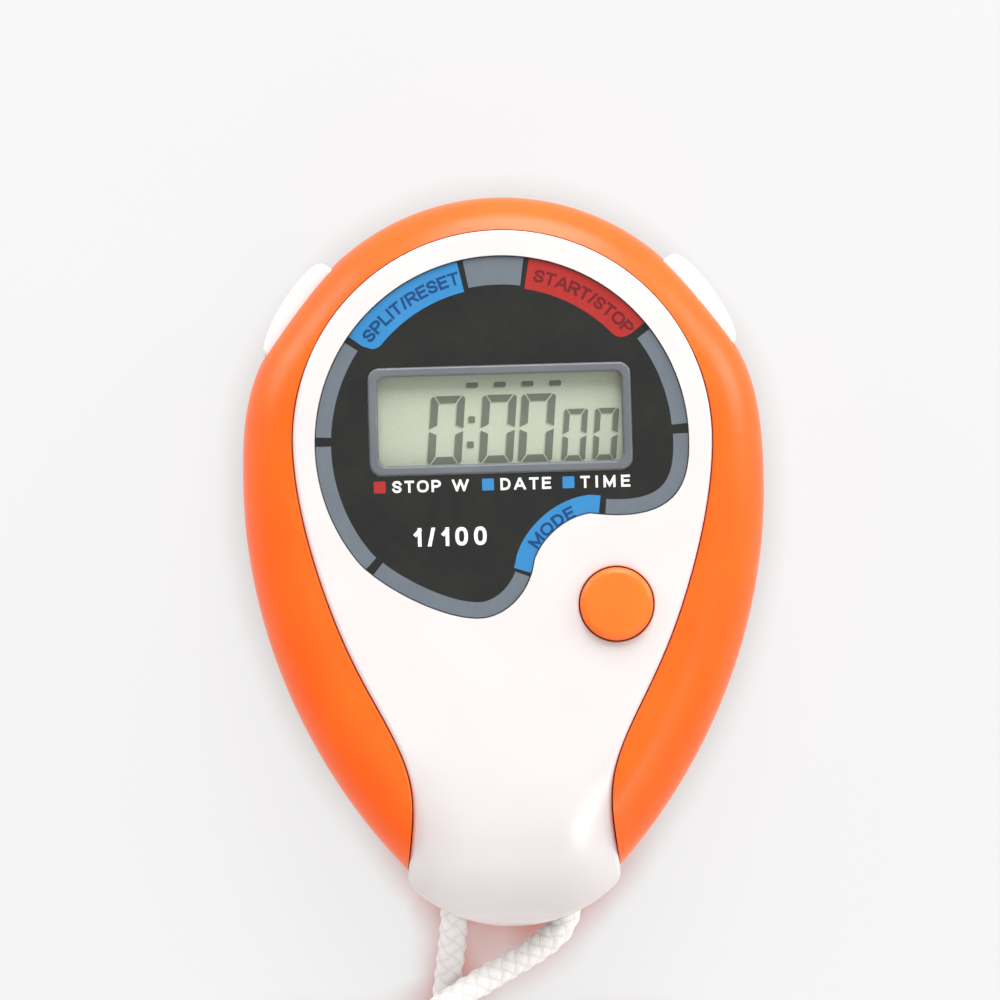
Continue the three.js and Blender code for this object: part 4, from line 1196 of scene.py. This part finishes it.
def add_print():
    """Coloured bands round the label, a legend under the display and the buttons' names."""
    sheet = Print()
    low, high = LABEL_TOP, LABEL_TOP + INK_THICK
    for start, end, width, start_soft, end_soft, material in (
        (38.0, 80.1, TAB_WIDTH, TAB_SOFT, 0, INK_RED),
        (81.8, 100.9, 3.15, 0, 0, INK_GREY),
        (102.8, 144.6, TAB_WIDTH, 0, TAB_SOFT, INK_BLUE),
        (3.6, 35.4, BAND_WIDTH, 0, 0, INK_GREY),
        (146.8, 177.7, BAND_WIDTH, 0, 0, INK_GREY),
        (180.6, 222.0, BAND_WIDTH, 0, 0, INK_GREY),
        (224.8, 279.95, BAND_WIDTH, 0, 0, INK_GREY),
        (280.8, 320.9, 2.0, 0, 0, INK_BLUE),
        (322.5, 360.5, 1.7, 0, 0, INK_GREY),
    ):
        sheet.shape(band(start, end, width, start_soft, end_soft), low, high, material)
    for x, material in ((-13.56, INK_RED), (-1.7, INK_BLUE), (7.1, INK_BLUE)):
        square = round_box((x, LEGEND_Y), (LEGEND_SQUARE, LEGEND_SQUARE), 0.12, 0.05)
        sheet.shape(square, low, high, material)
    for word, left, right in (("STOP W", -12.2, -3.8), ("DATE", -0.35, 5.2), ("TIME", 8.4, 13.85)):
        lay = straight_word((left + right) / 2, LEGEND_Y - LEGEND_HEIGHT / 2)
        sheet.letters(word, LEGEND_HEIGHT, right - left, low, high, INK_WHITE, lay)
    sheet.letters("1/100", 2.05, 8.0, low, high, INK_WHITE, straight_word(-6.0, -11.45))
    for word, height, width, material, lay in (
        ("SPLIT/RESET", 1.42, 12.0, INK_DARK_BLUE, round_word(LABEL_CENTRE, ARC_WORD_R, 122.2)),
        ("START/STOP", 1.42, 12.0, INK_DARK_RED, round_word(LABEL_CENTRE, ARC_WORD_R, 58.4)),
        ("MODE", 1.38, 5.6, INK_DARK_BLUE, round_word((MODE.x, MODE.y), 10.5, 128.5)),
    ):
        sheet.letters(word, height, width, high, high + 0.01, material, lay)
    dress(sheet.finished("face_print"), None, "printed_label", "case")


add_label()
add_print()

# ---------------------------------------------------------------- display

SLANT = math.tan(math.radians(5.1))
BASELINE = -2.5
LARGE = (3.75, 7.46, 0.94)  # width, height and stroke of a large digit
SMALL = (2.62, 5.68, 0.7)
SHADOW_SHIFT = (-0.16, -0.14)  # of the readout's painted shadow on the reflector
COLON, DASHES_Y = ((-3.29, 2.3), (-3.51, -0.45)), 6.07


def digit_zero(x, size):
    """The six lit segments of a nought, as outlines with mitred ends."""
    width, height, stroke = size
    gap, chamfer = stroke * 0.09, stroke * 0.3
    inner, end, inner_end = stroke - gap, height / 2 - gap * 1.6, height / 2 - stroke * 0.55
    upright = [(0, end), (0, chamfer), (chamfer, 0), (inner, inner), (inner, inner_end)]
    start, inner_start, bar_inner = gap * 2 + chamfer, stroke + gap, stroke - gap * 1.5
    bar = [(start, 0), (width - start, 0), (width - inner_start, bar_inner), (inner_start, bar_inner)]

    def flipped(shape, flip_x, flip_y):
        return [(width - a if flip_x else a, height - b if flip_y else b) for a, b in shape]

    shapes = [flipped(upright, *flips) for flips in ((0, 0), (0, 1), (1, 0), (1, 1))]
    shapes += [flipped(bar, 0, flip_y) for flip_y in (0, 1)]
    return [[(x + a + SLANT * b, BASELINE + b) for a, b in shape] for shape in shapes]


def display_shapes():
    """Five noughts, a colon and the row of dashes above."""
    shapes = []
    for x in (-8.32, -2.67, 1.61):
        shapes += digit_zero(x, LARGE)
    for x in (6.37, 9.77):
        shapes += digit_zero(x, SMALL)
    shapes += [round_box(spot, (0.74, 0.74), 0.12, 0.05) for spot in COLON]
    shapes += [round_box((x, DASHES_Y), (1.3, 0.58), 0.16, 0.05) for x in (-3.14, -0.1, 2.93, 5.96)]
    return shapes


def add_display():
    """The readout, with a painted shadow: offset copies of its shapes in a darker green, on the reflector
    behind it.
    """
    readout = Print()
    for shape in display_shapes():
        readout.shape(np.asarray(shape) + SHADOW_SHIFT, LCD_TOP, LCD_TOP + 0.006, LCD_PAINTED_SHADOW)
    for shape in display_shapes():
        readout.shape(shape, LCD_TOP + 0.008, LCD_TOP + 0.02, LCD_INK)
    dress(readout.finished("lcd_readout"), None, "lcd", "case")


def add_bezel():
    """A frame with a rounded outer rim and an inner wall that slopes to the window."""
    width, height = bezel_size(0)
    bottom, seat_top, step = node_box("lcd_bezel")[0].z, 16.2, 0.12
    outline = round_box(LCD, (width, height), 1.3, step)
    surround = plate("lcd_frame", outline, bottom, BEZEL_TOP, (0.28, 0.28), steps=6)
    sill = 1.05  # width of the frame round the window
    view = (width - 2 * sill, height - 2 * sill)
    slopes = [(0.0, bottom - 1), (0.0, seat_top + 0.1)]
    slopes += [(0.1, BEZEL_TOP - 0.28), (0.18, BEZEL_TOP - 0.08), (0.34, BEZEL_TOP + 0.02), (0.34, ABOVE)]
    window = round_box(LCD, view, 0.8, step)
    opening = loft("opening", [level(inset(window, -grow), z) for grow, z in slopes])
    seat = plate("seat", round_box(LCD, (view[0] + 1.0, view[1] + 1.0), 0.8), 0, seat_top)
    cut(surround, opening, seat)
    dress(smooth(surround, 35), BEZEL, "grey_bezel", "case", "lcd_bezel")


add_display()
add_bezel()

# ---------------------------------------------------------------- buttons


def moved_block(deg, x_range, y_range, z_range):
    """A block with rounded corners in a side button's frame."""
    (x0, x1), (y0, y1) = x_range, y_range
    size = (x1 - x0, y1 - y0)
    outline = round_box(((x0 + x1) / 2, (y0 + y1) / 2), size, min(size) * 0.2, 0.2)
    return loft("block", [turned_about_dial(level(outline, z), deg) for z in z_range])


def about_button(half_height):
    """The heights an equal way below and above a side button's middle."""
    return SIDE_BUTTON_Z - half_height, SIDE_BUTTON_Z + half_height


def add_side_button(name, deg):
    """A cap with a bowed face and soft rims, on a flange that keeps it in the case."""
    half, back, reach, soft = 6.0, 23.5, 28.4, (0.7, 0.55)
    shoulder = reach - 1.4
    corner, crown = (reach - 0.9, half - 0.5), (reach + 0.3, half / 2)
    face = bend((corner[0], -corner[1]), (crown[0], -crown[1]), crown, corner, 30)
    plan = filleted([(back, -half), (shoulder, -half), face[0]], 0.5) + list(face[1:-1])
    plan += filleted([face[-1], (shoulder, half), (back, half)], 0.5)
    plan = anticlockwise(even(np.array(plan + [plan[0]]), 0.22)[:-1])
    bottom, top = about_button(2.5)
    rings = rim(plan, bottom, *soft, 8, under=True) + rim(plan, top, *soft, 8)
    cap = loft(f"{name}_button_cap", [turned_about_dial(r, deg) for r in rings])
    flange = moved_block(deg, (22.7, back), (-half - 0.8, half + 0.8), about_button(3.3))
    core = moved_block(deg, (back - 0.1, 25), (-half + 0.8, half - 0.8), about_button(1.8))
    plunger = moved_block(deg, (21.8, 23), (-1.5, 1.5), about_button(1.2))
    joined(cap, flange, core, plunger)
    dress(smooth(cap), WHITE_BUTTON, "white_button", f"{name}_button", f"button_{name}")


def add_leaf_spring(name, deg):
    """The bowed strip that returns a side button, and the feet that hold it on the board."""
    rest, bow, half, thick, half_height, edge = 20.0, 1.4, 5.5, 0.25, 1.3, 0.08
    crown = rest + bow * 1.33  # where the curve's handles lie, a third past the strip's own crown
    inner = bend((rest, -half), (crown, -half / 3), (crown, half / 3), (rest, half), 48)
    strip = anticlockwise(np.concatenate([inner, inner[::-1] + (thick, 0)]))
    low, high = about_button(half_height)
    rings = [turned_about_dial(level(strip, z), deg) for z in (low, low + edge, high - edge, high)]
    spring = loft(f"leaf_{name}", rings)
    foot, foot_height = (17.4, rest - 0.02), (10.7, high)
    feet = moved_block(deg, foot, (-half - 0.5, -half + 0.5), foot_height)
    feet.name = f"leaf_feet_{name}"
    joined(feet, moved_block(deg, foot, (half - 0.5, half + 0.5), foot_height))
    dress(smooth(spring), SPRING_STEEL, "steel", "case", f"leaf_spring_{name}")
    dress(smooth(feet), SPRING_STEEL, "steel", "case")
    spring.modifiers.clear()
    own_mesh(spring)


def add_mode_button():
    """A round orange key with a soft rim, on a flange and a stem that presses the dome."""
    stem_r, flange_r, flange_bottom, flange_top = 1.5, 5.2, 14.2, 15.1
    profile = filleted([
        (0, 12.6), (stem_r, 12.6), (stem_r, flange_bottom), (flange_r, flange_bottom),
        (flange_r, flange_top), (MODE_R, flange_top), (MODE_R, MODE_TOP - 0.45),
        (MODE_R - 0.5, MODE_TOP - 0.08), (2.2, MODE_TOP), (0, MODE_TOP),
    ], 0.4, 6)
    button = turned("mode_button_cap", profile, MODE, 128)
    dress(smooth(button), ORANGE_BUTTON, "orange_button", "mode_button", "button_mode")


def add_mode_dome():
    """The rubber dome under the mode button, drawn at rest; the real dome flattens as it is pressed."""
    bottom, foot_r, foot_top, crown_r, top = node_box("mode_dome_switch")[0].z, 3.4, 11.1, 1.5, 12.35
    cone = [(2.4, 11.3), (1.9, 12.1)]
    profile = [(0, bottom), (foot_r, bottom), (foot_r, foot_top), *cone, (crown_r, top), (0, top)]
    profile = filleted(profile, 0.2, 4)
    dome = turned("mode_dome", profile, MODE, 64)
    dome.data.shade_smooth()
    dress(dome, RUBBER, "conductive_rubber", "case", "mode_dome_switch")
    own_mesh(dome)


for side, direction in (("start_stop", SIDE_BUTTON_DEG), ("split_reset", 180 - SIDE_BUTTON_DEG)):
    add_side_button(side, direction)
    add_leaf_spring(side, direction)
add_mode_button()
add_mode_dome()

# ---------------------------------------------------------------- screws and inner pieces


def add_screw(node, head_r, head_height, shank_r):
    """A pan-head screw with its head down, a thread and a cross recess."""
    low, high = node_box(node)
    x, y, _ = (low + high) / 2
    seat = low.z + head_height
    crown_r, crown_edge = head_r * 0.75, low.z + head_height * 0.45
    profile = [(0, low.z), (crown_r, low.z), (head_r, crown_edge), (head_r, seat), (shank_r, seat)]
    profile = filleted(profile, 0.2, 4)
    pitch, root_r = 0.6, shank_r * 0.84
    z = seat + 0.4
    while z < high.z - shank_r - pitch:
        profile += [(root_r, z), (shank_r, z + pitch / 2)]
        z += pitch
    profile += [(shank_r * 0.8, high.z - shank_r), (0, high.z)]
    screw = turned(f"{node}_turned", profile, (x, y), 48)
    arm, half, recess = head_r * 0.55, head_r * 0.13, low.z + head_height * 0.55
    for dx, dy in ((arm, half), (half, arm)):
        cut(screw, block(x - dx, x + dx, y - dy, y + dy, low.z - 1, recess))
    dress(smooth(screw), STEEL, "screw_steel", "case", node)


for i in range(1, 6):
    add_screw(f"case_screw_{i}", 1.9, 1.35, 1.0)
for i in range(1, 4):
    add_screw(f"pcb_screw_{i}", 1.7, 1.15, 0.9)

INNER = {
    "lcd_window": WINDOW, "lcd_glass": LCD_FACE, "lcd_reflector": FOIL, "lcd_holder": WHITE_INNER,
    "zebra_strip_upper": RUBBER, "zebra_strip_lower": RUBBER, "main_pcb": BOARD, "chip_blob": EPOXY,
    "quartz_crystal": STEEL, "capacitor_1": CERAMIC, "capacitor_2": CERAMIC, "resistor": EPOXY,
    "battery_cell": STEEL, "battery_holder": BLACK_INNER, "battery_contact_positive": SPRING_STEEL,
    "battery_contact_negative": SPRING_STEEL, "battery_cover_seal": RUBBER, "piezo_disc": BRASS,
    "piezo_ceramic": CERAMIC, "buzzer_spring_1": SPRING_STEEL, "buzzer_spring_2": SPRING_STEEL,
}


def dress_inner(node, material):
    """A frame node with its finish and softened edges."""
    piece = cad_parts[node]
    piece.data.materials.clear()
    piece.data.materials.append(material)
    weld = piece.modifiers.new("weld", "WELD")
    weld.merge_threshold = 1e-6
    soft = piece.modifiers.new("soft edges", "BEVEL")
    soft.width = 0.06 * MM
    soft.segments = 2
    soft.limit_method = "ANGLE"
    soft.angle_limit = math.radians(40)


for node, material in INNER.items():
    dress_inner(node, material)

# ---------------------------------------------------------------- floor and light


def add_floor():
    half, z = 6, -0.00005  # metres
    corners = [(-half, -half, z), (half, -half, z), (half, half, z), (-half, half, z)]
    mesh = bpy.data.meshes.new("floor")
    mesh.from_pydata(corners, [], [(0, 1, 2, 3)])
    floor = bpy.data.objects.new("floor", mesh)
    floor.data.materials.append(floor_paper())
    bpy.context.scene.collection.objects.link(floor)


def add_light(name, towards, size, power):
    """A square soft light a metre from the dial."""
    light = bpy.data.objects.new(name, bpy.data.lights.new(name, "AREA"))
    light.data.size = size
    light.data.energy = power
    light.location = Vector(towards).normalized()
    light.rotation_mode = "QUATERNION"
    light.rotation_quaternion = Vector(towards).to_track_quat("Z", "Y")
    bpy.context.scene.collection.objects.link(light)


def add_world():
    """A pale tent, brighter low down and to the upper right, and warmer to the lower left."""
    world = bpy.data.worlds.new("studio")
    sky = Tree(world)
    way = sky.add("ShaderNodeTexCoord").outputs["Generated"]
    bright_side = Vector((0.45, 0.7, 0.55)).normalized()
    toward = sky.add("ShaderNodeVectorMath", {0: way, 1: bright_side}, operation="DOT_PRODUCT")
    share = sky.remap(toward.outputs["Value"], -0.6, 1)
    tone = sky.blend(share, (0.42, 0.37, 0.36, 1), (0.52, 0.52, 0.52, 1))
    background = sky.nodes["Background"].inputs
    sky.links.new(tone, background["Color"])
    sky.links.new(sky.remap(sky.split(way)["Z"], 0, 0.6, 1.4, 0.95), background["Strength"])
    bpy.context.scene.world = world


add_floor()
add_world()
add_light("key", (0.12, 0.88, 0.58), 0.7, 11.6)
add_light("right fill", (0.87, 0.38, 0.33), 0.5, 4.4)
add_light("left fill", (-0.8, 0.55, 0.33), 0.5, 3.3)
add_light("near fill", (0.2, -0.9, 0.5), 1.3, 6.0)
add_light("glint", (0.31, -0.35, 0.88), 0.2, 0.8)
bpy.context.scene.view_settings.view_transform = "Standard"
